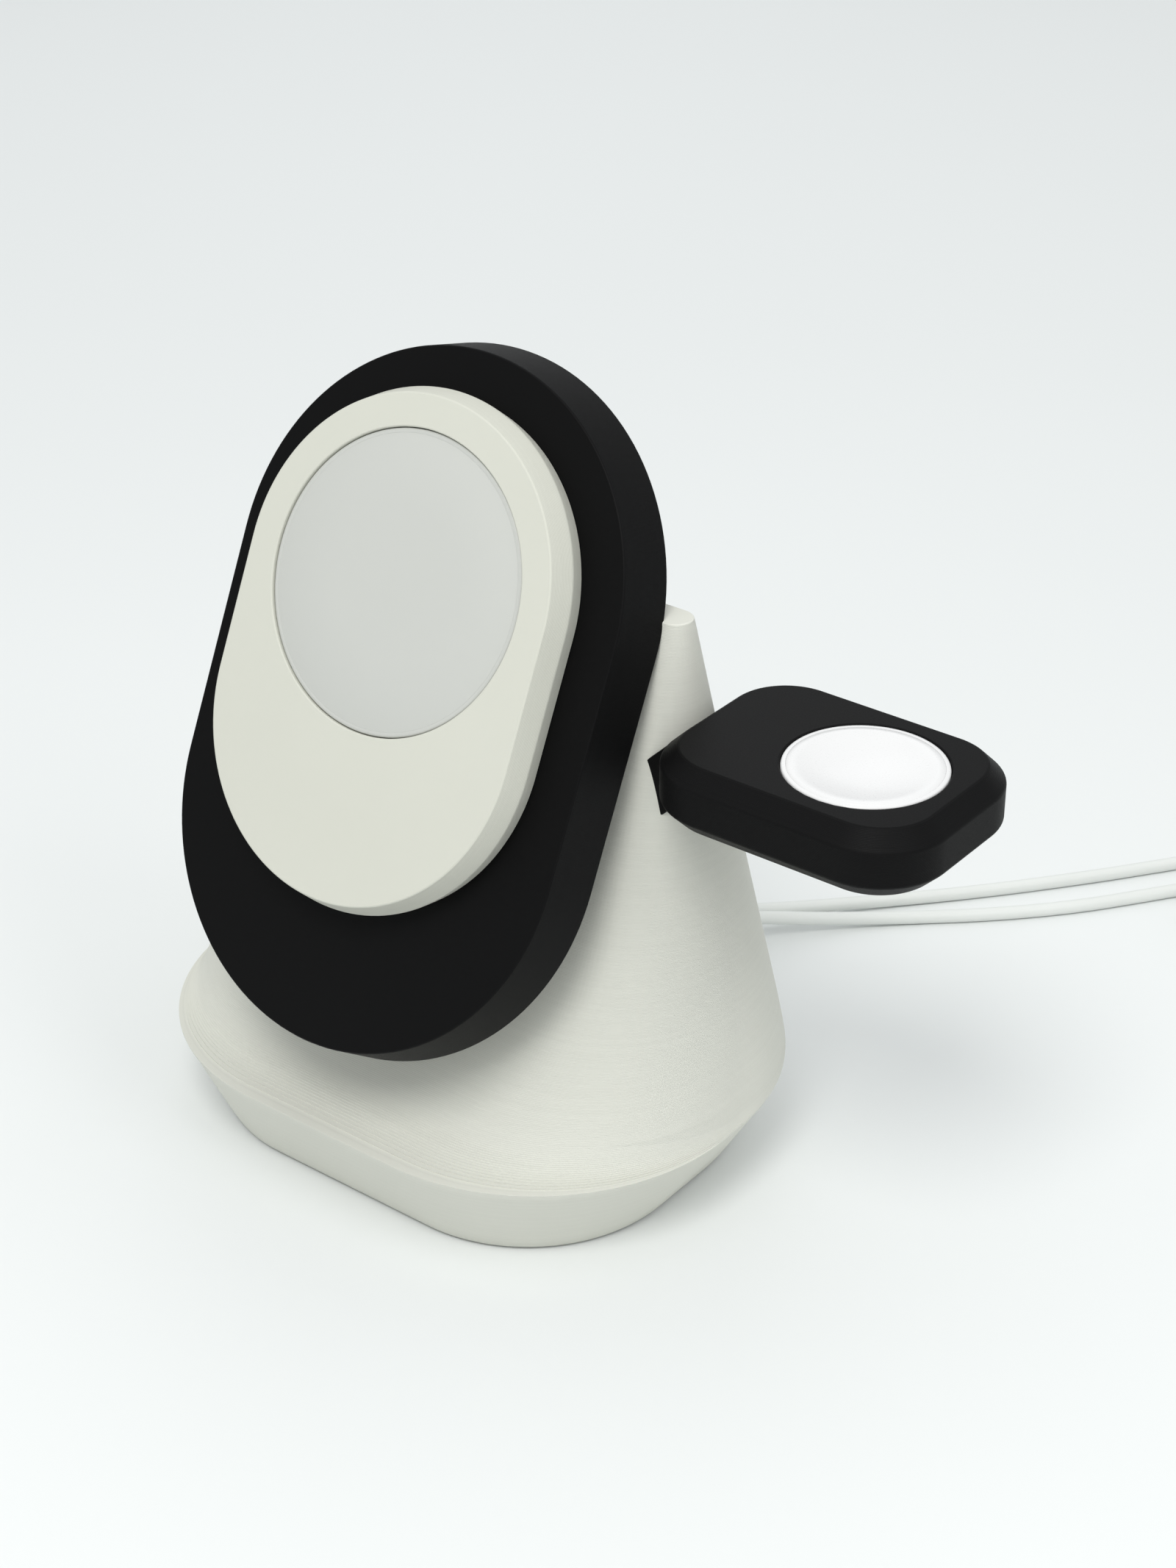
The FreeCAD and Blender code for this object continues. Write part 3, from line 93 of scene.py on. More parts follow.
class StationPlate(bpy.types.PropertyGroup):
    lean: bpy.props.FloatProperty(
        name="Lean", description="Angle of the plate away from upright",
        default=math.radians(25.4), subtype="ANGLE")
    front_wide: length("Front width", "Width of the black housing at its front", 88.0)
    back_wide: length("Back width", "Width of the black housing at its back", 92.0)
    thick: length("Thickness", "Thickness of the black housing", 11.0)
    drop: length("Drop", "Distance between the housing's two arc centres", 44.0)
    white_wide: length("Carrier width", "Width of the white carrier's face", 68.8)
    white_belly: length("Carrier belly", "Width of the white carrier where it is widest", 72.0)
    white_back: length("Carrier back", "Width of the white carrier at the black housing", 70.2)
    white_drop: length("Carrier drop", "Distance between the carrier's two arc centres", 25.5)
    black: colour("Printed black", "Colour of the black pieces", (0.0045, 0.0045, 0.0047, 1.0))
    white: colour("Carrier white", "Colour of the white carrier", (0.62, 0.625, 0.555, 1.0))


class StationPucks(bpy.types.PropertyGroup):
    phone_wide: length("Phone puck width", "Diameter of the phone puck", 56.0)
    phone_thick: length("Phone puck thickness", "Thickness of the phone puck", 5.5)
    phone_sunk: length("Phone puck recess", "Depth of the puck's face below the carrier's face", 0.5)
    watch_wide: length("Watch puck width", "Diameter of the watch puck", 29.5)
    watch_thick: length("Watch puck thickness", "Thickness of the watch puck", 8.5)
    dish_wide: length("Dish width", "Diameter of the watch puck's dish", 24.6)
    dish_deep: length("Dish depth", "Depth of the watch puck's dish", 1.5)
    phone_face: colour("Phone puck face", "Colour of the phone puck's face", (0.545, 0.555, 0.525, 1.0))
    watch_face: colour("Watch puck face", "Colour of the watch puck", (0.75, 0.75, 0.75, 1.0))


class StationArm(bpy.types.PropertyGroup):
    long: length("Arm length", "Length of the arm's slab", 56.6)
    deep: length("Arm depth", "Depth of the arm's slab", 43.0)
    thick: length("Arm thickness", "Thickness of the arm's slab", 13.2)
    corner: length("Arm corner", "Corner radius of the arm's slab", 13.7)
    bevel: length("Arm bevel", "Bevel along the slab's top and bottom edges", 3.2)
    top: length("Arm height", "Height of the slab's top", 107.5)


class StationCords(bpy.types.PropertyGroup):
    wide: length("Lead diameter", "Diameter of each lead", 3.0)
    coil_radius: length("Coil radius", "Radius of each put-away coil at its outer turns", 18.0)
    white: colour("Lead white", "Colour of the leads and plugs", (0.74, 0.76, 0.735, 1.0))


class StationStage(bpy.types.PropertyGroup):
    floor: colour("Floor", "Colour of the pale floor", (0.81, 0.83, 0.825, 1.0))
    key_power: amount("Key light", "Power of the large soft lamp in watts", 4.5)
    side_power: amount("Side light", "Power of the lamp on the right in watts", 1.1)
    back_power: amount("Back light", "Power of the lamp behind the station in watts", 0.55)
    sky_low: amount("Low sky", "Strength of the light from the sides", 0.42)
    sky_high: amount("High sky", "Strength of the light from straight above", 1.0)


GROUPS = (
    ("station_base", StationBase), ("station_plate", StationPlate), ("station_pucks", StationPucks),
    ("station_arm", StationArm), ("station_cords", StationCords), ("station_stage", StationStage))


def settings(name):
    return getattr(bpy.context.scene, name)


def add_object(name, data):
    made = bpy.data.objects.new(name, data)
    bpy.context.scene.collection.objects.link(made)
    return made


# node helpers

def link(tree, source, target):
    tree.links.new(source, target)


def node(tree, kind, **values):
    made = tree.nodes.new(kind)
    for key, value in values.items():
        setattr(made, key, value)
    return made


def put_in(tree, socket, value):
    """Set a socket to a number, or link it to another node's output."""
    if isinstance(value, bpy.types.NodeSocket):
        tree.links.new(value, socket)
    else:
        socket.default_value = value


def math_node(tree, operation, *values, clamp=False):
    made = node(tree, "ShaderNodeMath", operation=operation, use_clamp=clamp)
    for socket, value in zip(made.inputs, values):
        put_in(tree, socket, value)
    return made.outputs[0]


def vector_node(tree, operation, *values):
    made = node(tree, "ShaderNodeVectorMath", operation=operation)
    for socket, value in zip(made.inputs, values):
        put_in(tree, socket, value)
    return made.outputs["Value"] if operation in ("DOT_PRODUCT", "LENGTH") else made.outputs[0]


def spread(tree, value, low, high, new_low, new_high, kind="SMOOTHSTEP"):
    made = node(tree, "ShaderNodeMapRange", interpolation_type=kind)
    for socket, number in zip(made.inputs, (value, low, high, new_low, new_high)):
        put_in(tree, socket, number)
    return made.outputs[0]


def noise_node(tree, vector, scale, detail=2.0):
    made = node(tree, "ShaderNodeTexNoise")
    for label, value in (("Vector", vector), ("Scale", scale), ("Detail", detail)):
        put_in(tree, made.inputs[label], value)
    return made.outputs[0]


def toned(colour, factor):
    """A colour made darker or paler by a factor."""
    return [min(1.0, part * factor) for part in colour[:3]] + [1.0]


def mix_colour(tree, factor, first, second, blend="MIX"):
    made = node(tree, "ShaderNodeMix", data_type="RGBA", blend_type=blend)
    put_in(tree, made.inputs[0], factor)
    put_in(tree, made.inputs[6], first)
    put_in(tree, made.inputs[7], second)
    return made.outputs[2]


def new_group(name, inputs, outputs):
    """An empty shader node group with named sockets."""
    tree = bpy.data.node_groups.new(name, "ShaderNodeTree")
    for label, kind, value in inputs:
        socket = tree.interface.new_socket(label, in_out="INPUT", socket_type=kind)
        socket.default_value = value
    for label, kind in outputs:
        tree.interface.new_socket(label, in_out="OUTPUT", socket_type=kind)
    return tree, tree.nodes.new("NodeGroupInput"), tree.nodes.new("NodeGroupOutput")


def printed_layers_group():
    """The stacked beads of a printed part: their rounded height, painted shade in the groove
    between two beads and a small change of tone from bead to bead."""
    if "printed_layers" in bpy.data.node_groups:
        return bpy.data.node_groups["printed_layers"]
    tree, source, result = new_group(
        "printed_layers",
        (("Vector", "NodeSocketVector", (0, 0, 0)), ("Direction", "NodeSocketVector", (0, 0, 1)),
         ("Layer", "NodeSocketFloat", 0.0003), ("Waver", "NodeSocketFloat", 0.1),
         ("Sharpness", "NodeSocketFloat", 0.25)),
        (("Height", "NodeSocketFloat"), ("Line", "NodeSocketFloat"), ("Tone", "NodeSocketFloat")))
    along = vector_node(tree, "DOT_PRODUCT", source.outputs["Vector"], source.outputs["Direction"])
    level = math_node(tree, "DIVIDE", along, source.outputs["Layer"])
    drift = noise_node(tree, source.outputs["Vector"], 60.0)
    waver = math_node(tree, "MULTIPLY", math_node(tree, "SUBTRACT", drift, 0.5), source.outputs["Waver"])
    level = math_node(tree, "ADD", level, waver)
    part = math_node(tree, "FRACT", level)
    centred = math_node(tree, "SUBTRACT", math_node(tree, "MULTIPLY", part, 2.0), 1.0)
    square = math_node(tree, "MULTIPLY", centred, centred)
    bead = math_node(tree, "SUBTRACT", 1.0, math_node(tree, "POWER", square, 1.6))
    edge = math_node(tree, "ABSOLUTE", centred)
    # painted shade: a line that is darkest where two beads meet, standing in for the shade in the groove
    line = spread(tree, edge, math_node(tree, "SUBTRACT", 1.0, source.outputs["Sharpness"]), 1.0, 0.0, 1.0)
    noise = node(tree, "ShaderNodeTexWhiteNoise", noise_dimensions="1D")
    link(tree, math_node(tree, "FLOOR", level), noise.inputs["W"])
    link(tree, bead, result.inputs["Height"])
    link(tree, line, result.inputs["Line"])
    link(tree, noise.outputs["Value"], result.inputs["Tone"])
    return tree


def fine_grain_group():
    """A fine moulded grain and a broad cloudiness for any plastic surface."""
    if "fine_grain" in bpy.data.node_groups:
        return bpy.data.node_groups["fine_grain"]
    tree, source, result = new_group(
        "fine_grain",
        (("Vector", "NodeSocketVector", (0, 0, 0)), ("Fine", "NodeSocketFloat", 4000.0),
         ("Broad", "NodeSocketFloat", 30.0)),
        (("Grain", "NodeSocketFloat"), ("Cloud", "NodeSocketFloat")))
    for label, scale in (("Grain", "Fine"), ("Cloud", "Broad")):
        noise = noise_node(tree, source.outputs["Vector"], source.outputs[scale], 3.0)
        link(tree, noise, result.inputs[label])
    return tree


def new_material(name):
    made = bpy.data.materials.new(name)
    made.use_nodes = True
    tree = made.node_tree
    shader = tree.nodes["Principled BSDF"]
    place = node(tree, "ShaderNodeTexCoord").outputs["Object"]
    return made, tree, shader, place


def group_node(tree, group, **values):
    made = node(tree, "ShaderNodeGroup", node_tree=group)
    for key, value in values.items():
        put_in(tree, made.inputs[key.replace("_", " ")], value)
    return made


def add_bump(tree, shader, heights):
    """Chain bump nodes of (height, distance in metres, strength) into the shader's normal."""
    normal = None
    for height, distance, strength in heights:
        bump = node(tree, "ShaderNodeBump")
        bump.inputs["Strength"].default_value = strength
        bump.inputs["Distance"].default_value = distance
        link(tree, height, bump.inputs["Height"])
        if normal is not None:
            link(tree, normal, bump.inputs["Normal"])
        normal = bump.outputs[0]
    link(tree, normal, shader.inputs["Normal"])


def printed_plastic(name, colour, direction, layer, roughness, depth, groove_shade_factor, tone_spread,
                    grain_depth=0.00001, shine=0.3):
    """Printed plastic with layers across a direction, its colour darkened along each groove between layers
    as painted shade.
    """
    made, tree, shader, place = new_material(name)
    layers = group_node(tree, printed_layers_group(), Vector=place, Direction=direction, Layer=layer)
    grain = group_node(tree, fine_grain_group(), Vector=place)
    # painted shade in each groove between beads: the colour is darkened there by a factor
    groove_shade = math_node(tree, "MULTIPLY", layers.outputs["Line"], 0.6)
    tinted = mix_colour(tree, groove_shade, list(colour), toned(colour, groove_shade_factor))
    tone = spread(tree, layers.outputs["Tone"], 0.0, 1.0, 1.0 - tone_spread, 1.0 + tone_spread, "LINEAR")
    cloud = spread(tree, grain.outputs["Cloud"], 0.3, 0.7, 1.0 - tone_spread, 1.0 + tone_spread, "LINEAR")
    level = math_node(tree, "MULTIPLY", tone, cloud)
    scale = node(tree, "ShaderNodeCombineColor")
    for i in range(3):
        link(tree, level, scale.inputs[i])
    link(tree, mix_colour(tree, 1.0, tinted, scale.outputs[0], "MULTIPLY"), shader.inputs["Base Color"])
    rough = spread(tree, grain.outputs["Grain"], 0.3, 0.7, roughness - 0.05, roughness + 0.05, "LINEAR")
    link(tree, rough, shader.inputs["Roughness"])
    shader.inputs["Specular IOR Level"].default_value = shine
    add_bump(tree, shader, (
        (layers.outputs["Height"], depth, 0.6), (grain.outputs["Grain"], grain_depth, 0.5)))
    return made


def plain_material(name, colour, roughness, metallic=0.0, grain=0.000006, fine=3000.0, coat=0.0,
                   cloud=0.02):
    """A moulded or metal surface with fine grain and a little cloudiness."""
    made, tree, shader, place = new_material(name)
    fine_grain = group_node(tree, fine_grain_group(), Vector=place, Fine=fine)
    tone = spread(tree, fine_grain.outputs["Cloud"], 0.3, 0.7, 0.0, 1.0)
    tinted = mix_colour(tree, tone, toned(colour, 1 - cloud), toned(colour, 1 + cloud))
    link(tree, tinted, shader.inputs["Base Color"])
    rough = spread(tree, fine_grain.outputs["Grain"], 0.3, 0.7, max(0.02, roughness - 0.04),
                   roughness + 0.04, "LINEAR")
    link(tree, rough, shader.inputs["Roughness"])
    shader.inputs["Metallic"].default_value = metallic
    if coat:
        shader.inputs["Coat Weight"].default_value = coat
        shader.inputs["Coat Roughness"].default_value = 0.15
    add_bump(tree, shader, ((fine_grain.outputs["Grain"], grain, 0.5),))
    return made


def brushed_metal(name, colour, roughness):
    made, tree, shader, place = new_material(name)
    stretch = node(tree, "ShaderNodeMapping")
    stretch.inputs["Scale"].default_value = (400.0, 6000.0, 6000.0)
    link(tree, place, stretch.inputs["Vector"])
    noise = noise_node(tree, stretch.outputs[0], 1.0)
    link(tree, mix_colour(tree, noise, list(colour), toned(colour, 0.8)), shader.inputs["Base Color"])
    rough = spread(tree, noise, 0.3, 0.7, roughness - 0.08, roughness + 0.08, "LINEAR")
    link(tree, rough, shader.inputs["Roughness"])
    shader.inputs["Metallic"].default_value = 1.0
    add_bump(tree, shader, ((noise, 0.000004, 0.4),))
    return made


MATERIALS = {}


def material(name):
    """Each finish is made the first time it is asked for."""
    if name in MATERIALS:
        return MATERIALS[name]
    base, plate = settings("station_base"), settings("station_plate")
    pucks, cords = settings("station_pucks"), settings("station_cords")
    lean = plate.lean
    outward = (0.0, -math.cos(lean), math.sin(lean))
    makers = {
        "printed_white": lambda: printed_plastic(
            name, base.white, (0, 0, 1), base.layer, 0.62, 0.00006, 0.93, 0.012),
        "carrier_white": lambda: printed_plastic(
            name, plate.white, outward, 0.0002, 0.58, 0.00004, 0.9, 0.01),
        "printed_black": lambda: printed_plastic(
            name, plate.black, outward, 0.0002, 0.5, 0.00004, 0.8, 0.05, shine=0.08),
        "arm_black": lambda: printed_plastic(
            name, plate.black, (0, 0, 1), 0.0002, 0.5, 0.00004, 0.8, 0.05, shine=0.08),
        "puck_face": lambda: plain_material(
            name, pucks.phone_face, 0.6, grain=0.000004, fine=6000.0, cloud=0.004),
        "puck_rim": lambda: plain_material(name, pucks.phone_face, 0.4, grain=0.000003, cloud=0.004),
        "watch_white": lambda: plain_material(name, pucks.watch_face, 0.3, grain=0.000002, coat=0.2),
        "lead_white": lambda: plain_material(name, cords.white, 0.45, grain=0.000005, fine=2500.0),
        "grommet": lambda: plain_material(name, (0.7, 0.7, 0.68, 1), 0.6),
        "steel": lambda: brushed_metal(name, (0.6, 0.6, 0.61, 1), 0.32),
        "magnet": lambda: brushed_metal(name, (0.5, 0.5, 0.52, 1), 0.25),
        "copper": lambda: brushed_metal(name, (0.75, 0.35, 0.18, 1), 0.3),
        "ferrite": lambda: plain_material(name, (0.05, 0.05, 0.055, 1), 0.7, grain=0.00002),
        "board": lambda: plain_material(name, (0.02, 0.16, 0.06, 1), 0.4, coat=0.4),
        "rubber": lambda: plain_material(name, (0.02, 0.02, 0.021, 1), 0.75, grain=0.00003, fine=1800.0),
    }
    MATERIALS[name] = makers[name]()
    return MATERIALS[name]


# mesh helpers; outlines are in metres, anticlockwise from above

PUCK_WALL = 0.9 * MM
SEAT_GAP = 0.15 * MM
PLATE_BEHIND = 8.7 * MM


def rounded_outline(wide, front, back, radius, steps=24, mid_x=0.0, straight=6):
    """A rounded rectangle between a front and a back line."""
    half = wide / 2
    centres = (
        (half - radius, front + radius, 270), (half - radius, back - radius, 0),
        (radius - half, back - radius, 90), (radius - half, front + radius, 180))
    points = []
    for i, (x, y, start) in enumerate(centres):
        for k in range(steps + 1):
            angle = math.radians(start + 90 * k / steps)
            points.append((mid_x + x + radius * math.cos(angle), y + radius * math.sin(angle)))
        nx, ny, after = centres[(i + 1) % 4]
        angle = math.radians(after)
        end = (mid_x + nx + radius * math.cos(angle), ny + radius * math.sin(angle))
        begin = points[-1]
        for k in range(1, straight):
            share = k / straight
            points.append((begin[0] + (end[0] - begin[0]) * share, begin[1] + (end[1] - begin[1]) * share))
    return points


def stadium_outline(wide, drop, steps=64, straight=16):
    """A tall stadium: its top arc is centred on the origin, its low arc a drop below."""
    radius = wide / 2
    points = [(radius * math.cos(math.pi * k / steps), radius * math.sin(math.pi * k / steps))
              for k in range(steps + 1)]
    points += [(-radius, -drop * k / straight) for k in range(1, straight)]
    points += [(-x, -drop - y) for x, y in points[:steps + 1]]
    points += [(radius, -drop * (1 - k / straight)) for k in range(1, straight)]
    return points


def facing_circle(outline, radius, x=0.0, y=0.0):
    """A circle with one point on the way from its middle to each point of an outline."""
    angles = [math.atan2(v - y, u - x) for u, v in outline]
    return [(x + radius * math.cos(angle), y + radius * math.sin(angle)) for angle in angles]


def skin(bm, rings):
    """Faces between rings of equal count; each ring is a list of three-part points."""
    rows = [[bm.verts.new(p) for p in ring] for ring in rings]
    for low, high in zip(rows, rows[1:]):
        count = len(low)
        for i in range(count):
            j = (i + 1) % count
            bm.faces.new((low[i], low[j], high[j], high[i]))
    return rows


def at_height(outline, height):
    return [(x, y, height) for x, y in outline]


def turned(points, matrix):
    return [tuple(matrix @ Vector(p)) for p in points]


def lean_matrix():
    """From the leaning plate's own frame, on the puck's face, to the model's frame."""
    low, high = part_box("phone_puck_face")
    lean = settings("station_plate").lean
    radius = settings("station_pucks").phone_wide / 2 - PUCK_WALL
    top = high[2] - radius * math.cos(lean)
    front = low[1] + radius * math.sin(lean)
    turn = Matrix.Rotation(math.pi / 2 - lean, 4, "X")
    return Matrix.Translation((0.0, front, top)) @ turn


def make_piece(name, bm, finish, bevel=0.0, segments=2, angle=30.0):
    """A finished piece from a bmesh, sharp along the edges past an angle, with an optional bevel there."""
    bmesh.ops.remove_doubles(bm, verts=bm.verts, dist=1e-7)
    bmesh.ops.recalc_face_normals(bm, faces=bm.faces)
    limit = math.radians(angle)
    for face in bm.faces:
        face.smooth = True
        face.material_index = 0
    for edge in bm.edges:
        if len(edge.link_faces) == 2 and edge.calc_face_angle(0.0) > limit:
            edge.smooth = False
    mesh = bpy.data.meshes.new(name)
    bm.to_mesh(mesh)
    bm.free()
    piece = add_object(name, mesh)
    mesh.materials.append(material(finish))
    if bevel:
        soften = piece.modifiers.new("soft_edges", "BEVEL")
        soften.width = bevel
        soften.segments = segments
        soften.limit_method = "ANGLE"
        soften.angle_limit = limit
        soften.harden_normals = True
    return piece


def solid(name, rings, finish, **options):
    """A finished piece from rings, with a flat face at each end."""
    bm = bmesh.new()
    rows = skin(bm, rings)
    bm.faces.new(rows[0])
    bm.faces.new(rows[-1])
    return make_piece(name, bm, finish, **options)


def sunk_solid(name, rings, rim, floor, finish, **options):
    """Like solid, but the last ring is joined to the rim of a seat, which goes down to its floor."""
    bm = bmesh.new()
    rows = skin(bm, rings) + skin(bm, [rim, floor])
    bm.faces.new(rows[0])
    bm.faces.new(rows[-1])
    outline, edge = rows[len(rings) - 1:len(rings) + 1]
    for i in range(len(rim)):
        j = (i + 1) % len(rim)
        bm.faces.new((outline[i], outline[j], edge[j], edge[i]))
    return make_piece(name, bm, finish, **options)


def settle(piece, *nodes, slot=None, body="root"):
    """The piece rides on a body and stands for CAD nodes."""
    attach(piece, body)
    if nodes:
        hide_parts(*nodes)
    return piece


# geometry trees for what repeats

def new_growth(name, inputs):
    """An empty geometry tree with named inputs; its points come in as Geometry."""
    tree = bpy.data.node_groups.new(name, "GeometryNodeTree")
    tree.interface.new_socket("Geometry", in_out="INPUT", socket_type="NodeSocketGeometry")
    for label, kind, value in inputs:
        socket = tree.interface.new_socket(label, in_out="INPUT", socket_type=kind)
        socket.default_value = value
    tree.interface.new_socket("Material", in_out="INPUT", socket_type="NodeSocketMaterial")
    tree.interface.new_socket("Geometry", in_out="OUTPUT", socket_type="NodeSocketGeometry")
    return tree, tree.nodes.new("NodeGroupInput").outputs, tree.nodes.new("NodeGroupOutput")


def end_growth(tree, source, result, geometry):
    """Every tree ends by making its copies real and giving them their finish."""
    real = node(tree, "GeometryNodeRealizeInstances")
    paint = node(tree, "GeometryNodeSetMaterial")
    link(tree, geometry, real.inputs[0])
    link(tree, real.outputs[0], paint.inputs["Geometry"])
    link(tree, source["Material"], paint.inputs["Material"])
    link(tree, paint.outputs[0], result.inputs[0])
    return tree


def tree_node(tree, kind, inputs, **values):
    """A node with its inputs set by name; gives back its first output."""
    made = node(tree, kind, **values)
    for key, value in inputs.items():
        put_in(tree, made.inputs[key], value)
    return made.outputs[0]


def in_space(tree, x=0.0, y=0.0, z=0.0):
    return tree_node(tree, "ShaderNodeCombineXYZ", {"X": x, "Y": y, "Z": z})


def joined(tree, *parts):
    made = node(tree, "GeometryNodeJoinGeometry")
    for part in parts:
        link(tree, part, made.inputs[0])
    return made.outputs[0]


def ring_curve(tree, resolution, radius):
    return tree_node(tree, "GeometryNodeCurvePrimitiveCircle", {"Resolution": resolution, "Radius": radius})


def swept(tree, curve, profile):
    """A closed mesh from a profile drawn along a curve."""
    return tree_node(tree, "GeometryNodeCurveToMesh", {
        "Curve": curve, "Profile Curve": profile, "Fill Caps": True})


def on_points(tree, points, instance, **more):
    return tree_node(tree, "GeometryNodeInstanceOnPoints", dict(more, Points=points, Instance=instance))


def halves(tree, source, *names):
    return [math_node(tree, "DIVIDE", source[name], 2.0) for name in names]


def cylinder(tree, width, depth, sides, lift):
    """A closed cylinder of a width and depth, its middle lifted along Z."""
    shape = tree_node(tree, "GeometryNodeMeshCylinder", {
        "Vertices": sides, "Radius": math_node(tree, "DIVIDE", width, 2.0), "Depth": depth})
    return tree_node(tree, "GeometryNodeTransform", {
        "Geometry": shape, "Translation": in_space(tree, z=lift)})


def screw_growth():
    """Pan-head screws with a hexagon socket and a thread, one on each point, heads upwards."""
    tree, source, result = new_growth("screw_growth", (
        ("Head Width", "NodeSocketFloat", 5.6 * MM), ("Head Height", "NodeSocketFloat", 2.0 * MM),
        ("Shank Width", "NodeSocketFloat", 3.0 * MM), ("Shank Length", "NodeSocketFloat", 8.0 * MM),
        ("Key Width", "NodeSocketFloat", 2.0 * MM), ("Pitch", "NodeSocketFloat", 0.5 * MM),
        ("Seed", "NodeSocketInt", 3)))
    high, long = source["Head Height"], source["Shank Length"]
    head = cylinder(tree, source["Head Width"], high, 40, math_node(tree, "DIVIDE", high, 2.0))
    key = cylinder(tree, source["Key Width"], high, 6, math_node(tree, "MULTIPLY", high, 0.95))
    cut = node(tree, "GeometryNodeMeshBoolean", operation="DIFFERENCE")
    link(tree, head, cut.inputs["Mesh 1"])
    link(tree, key, cut.inputs["Mesh 2"])
    root = 0.86  # the thread's root as a share of its width
    core = math_node(tree, "MULTIPLY", source["Shank Width"], root)
    shank = cylinder(tree, core, long, 24, math_node(tree, "DIVIDE", long, -2.0))
    turns = math_node(tree, "DIVIDE", long, source["Pitch"])
    radius = math_node(tree, "MULTIPLY", core, 0.49)
    spiral = tree_node(tree, "GeometryNodeCurveSpiral", {
        "Resolution": 12, "Rotations": turns, "Start Radius": radius, "End Radius": radius,
        "Height": math_node(tree, "SUBTRACT", long, source["Pitch"])})
    thread = swept(tree, spiral, ring_curve(tree, 4, math_node(tree, "MULTIPLY", source["Pitch"], 0.4)))
    thread = tree_node(tree, "GeometryNodeTransform", {
        "Geometry": thread, "Translation": in_space(tree, z=math_node(
            tree, "SUBTRACT", math_node(tree, "MULTIPLY", source["Pitch"], 0.5), long))})
    chance = node(tree, "FunctionNodeRandomValue", data_type="FLOAT")
    chance.inputs[3].default_value = 2 * math.pi
    link(tree, source["Seed"], chance.inputs["Seed"])
    screw = joined(tree, cut.outputs[0], shank, thread)
    copies = on_points(tree, source["Geometry"], screw, Rotation=in_space(tree, z=chance.outputs[1]))
    return end_growth(tree, source, result, copies)


def rib_growth():
    """Moulded rings along a tapering cord sleeve that runs up from the origin."""
    tree, source, result = new_growth("rib_growth", (
        ("Ribs", "NodeSocketInt", 5), ("Length", "NodeSocketFloat", 9.0 * MM),
        ("Start Width", "NodeSocketFloat", 3.6 * MM), ("End Width", "NodeSocketFloat", 5.6 * MM),
        ("Rib Width", "NodeSocketFloat", 0.9 * MM)))
    long = source["Length"]
    start, end, bead_radius = halves(tree, source, "Start Width", "End Width", "Rib Width")
    sleeve = tree_node(tree, "GeometryNodeMeshCone", {
        "Vertices": 48, "Radius Top": end, "Radius Bottom": start, "Depth": long})
    gap = math_node(tree, "DIVIDE", long, source["Ribs"])
    row = tree_node(tree, "GeometryNodeMeshLine", {
        "Count": source["Ribs"], "Start Location": in_space(tree, z=math_node(tree, "DIVIDE", gap, 2.0)),
        "Offset": in_space(tree, z=gap)})
    mean = math_node(tree, "DIVIDE", math_node(tree, "ADD", start, end), 2.0)
    bead = ring_curve(tree, 8, bead_radius)
    rib = tree_node(tree, "GeometryNodeCurveToMesh", {
        "Curve": ring_curve(tree, 48, mean), "Profile Curve": bead})
    place = tree_node(tree, "GeometryNodeInputPosition", {})
    along = node(tree, "ShaderNodeSeparateXYZ")
    link(tree, place, along.inputs[0])
    share = math_node(tree, "DIVIDE", along.outputs["Z"], long)
    reach = spread(tree, share, 0.0, 1.0, start, end, "LINEAR")
    grow = math_node(tree, "DIVIDE", reach, mean)
    ribs = on_points(tree, row, rib, Scale=in_space(tree, grow, grow, 1.0))
    return end_growth(tree, source, result, joined(tree, sleeve, ribs))


def dot_growth():
    """Low round dots in rows, kept inside a rounded rectangle round the origin."""
    tree, source, result = new_growth("dot_growth", (
        ("Width", "NodeSocketFloat", 60.0 * MM), ("Depth", "NodeSocketFloat", 40.0 * MM),
        ("Corner", "NodeSocketFloat", 14.0 * MM), ("Across", "NodeSocketInt", 17),
        ("Down", "NodeSocketInt", 11), ("Dot Width", "NodeSocketFloat", 1.8 * MM),
        ("Dot Height", "NodeSocketFloat", 0.3 * MM)))
    grid = tree_node(tree, "GeometryNodeMeshGrid", {
        "Size X": source["Width"], "Size Y": source["Depth"], "Vertices X": source["Across"],
        "Vertices Y": source["Down"]})
    place = node(tree, "ShaderNodeSeparateXYZ")
    link(tree, tree_node(tree, "GeometryNodeInputPosition", {}), place.inputs[0])
    over = []
    for axis, size in (("X", "Width"), ("Y", "Depth")):
        half = math_node(tree, "SUBTRACT", math_node(tree, "DIVIDE", source[size], 2.0), source["Corner"])
        away = math_node(tree, "SUBTRACT", math_node(tree, "ABSOLUTE", place.outputs[axis]), half)
        over.append(math_node(tree, "POWER", math_node(tree, "MAXIMUM", away, 0.0), 2.0))
    reach = math_node(tree, "SQRT", math_node(tree, "ADD", *over))
    outside = math_node(tree, "GREATER_THAN", reach, math_node(tree, "MULTIPLY", source["Corner"], 1.01))
    kept = tree_node(tree, "GeometryNodeDeleteGeometry", {"Geometry": grid, "Selection": outside})
    dot = tree_node(tree, "GeometryNodeMeshCone", {
        "Vertices": 16, "Radius Bottom": math_node(tree, "MULTIPLY", source["Dot Width"], 0.5),
        "Radius Top": math_node(tree, "MULTIPLY", source["Dot Width"], 0.34), "Depth": source["Dot Height"]})
    return end_growth(tree, source, result, on_points(tree, kept, dot))


